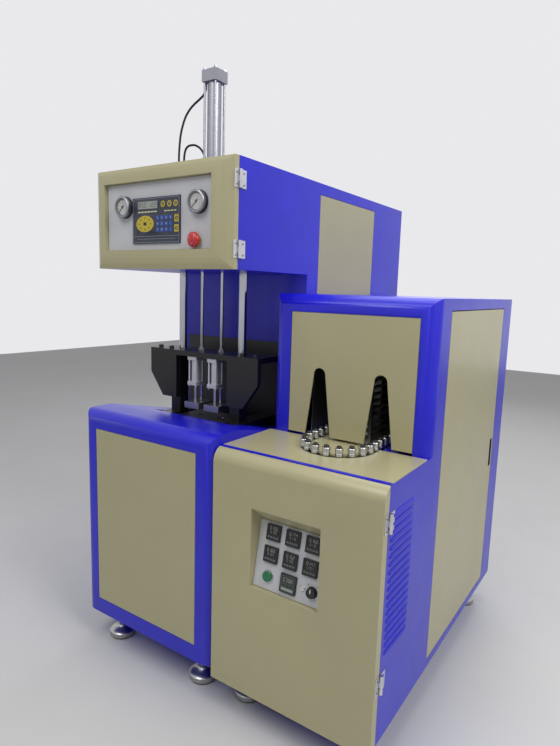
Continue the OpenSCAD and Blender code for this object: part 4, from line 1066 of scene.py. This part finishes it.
screw = [(0, 0), (3.4, 0), (3.4, 0.5), (2.4, 1.4), (1.0, 1.5), (1.0, 0.7), (0, 0.7)]
screw_reach = 17
# Outer face of the leaves, place of the pin and heights of the hinges
head_hinges = (631.0, 103.0, (1466, 1673))
oven_hinges = (1197.0, 30.0, (310, 765))
fixed_leaf = 19.7
head_leaf = -14.5
oven_leaf = -15.8


def screws(hinges, from_pin):
    """Grids of the two screws in one leaf of each hinge, at that distance behind the pin."""
    x, y, heights = hinges
    places = [at(x, y + from_pin, z + h) for z in heights for h in (-screw_reach, screw_reach)]
    return [turned(screw, p, SIDE, 20) for p in places]


fixed_screws = screws(head_hinges, fixed_leaf) + screws(oven_hinges, fixed_leaf)
piece("fixed_leaf_screws", fixed_screws, machined, "frame")
piece("head_leaf_screws", screws(head_hinges, head_leaf), machined, "head_door")
piece("oven_leaf_screws", screws(oven_hinges, oven_leaf), machined, "oven_front_door")


# Studio

floor_half = 9
corners = [(x, y, 0) for x, y in ((-1, -1), (1, -1), (1, 1), (-1, 1))]
floor_mesh = bpy.data.meshes.new("floor")
floor_mesh.from_pydata([(floor_half * x, floor_half * y, z) for x, y, z in corners], [], [(0, 1, 2, 3)])
floor = bpy.data.objects.new("floor", floor_mesh)
bpy.context.scene.collection.objects.link(floor)
# Matt painted floor: pale and even, so that only the soft shadow shows on it
dress(floor, coated("pale_studio_floor", "#d9d9da", "#d4d4d5", 0.55, 40.0, 0.05, mottle_mm=900))

world = bpy.data.worlds.new("studio")
bpy.context.scene.world = world
world.use_nodes = True
sky = world.node_tree
sky.nodes.clear()
rays = node(sky, "ShaderNodeLightPath").outputs
eye_or_gloss = {0: rays["Is Camera Ray"], 1: rays["Is Glossy Ray"]}
seen = node(sky, "ShaderNodeMath", links=eye_or_gloss, operation="MAXIMUM")
seen_or_through = {0: seen.outputs[0], 1: rays["Is Transmission Ray"]}
through = node(sky, "ShaderNodeMath", links=seen_or_through, operation="MAXIMUM")
dim = node(sky, "ShaderNodeBackground", {"Color": (1, 1, 1, 1), "Strength": 0.2})
pale = node(sky, "ShaderNodeBackground", {"Color": linear("#e9e9ec"), "Strength": 1.0})
dim_or_pale = {0: through.outputs[0], 1: dim.outputs[0], 2: pale.outputs[0]}
either = node(sky, "ShaderNodeMixShader", links=dim_or_pale)
node(sky, "ShaderNodeOutputWorld", links={"Surface": either.outputs[0]})


def softbox(name, place, target, size, watts):
    """A square area lamp aimed at a point."""
    lamp = bpy.data.lights.new(name, "AREA")
    lamp.size = size
    lamp.energy = watts
    made = bpy.data.objects.new(name, lamp)
    made.location = place
    made.rotation_euler = (Vector(target) - Vector(place)).to_track_quat("-Z", "Y").to_euler()
    bpy.context.scene.collection.objects.link(made)


softbox("key_lamp", place=(3.3, -1.1, 3.9), target=(0, -0.2, 1.0), size=2.0, watts=98)
softbox("fill_lamp", place=(-0.3, -3.2, 4.3), target=(0, -0.2, 0.8), size=2.2, watts=68)
softbox("top_lamp", place=(0.2, 0.6, 4.2), target=(0, 0, 0.8), size=2.6, watts=48)
softbox("back_lamp", place=(-0.9, 4.0, 3.4), target=(0, 0, 1.0), size=3.2, watts=30)

bpy.context.scene.view_settings.view_transform = "Standard"
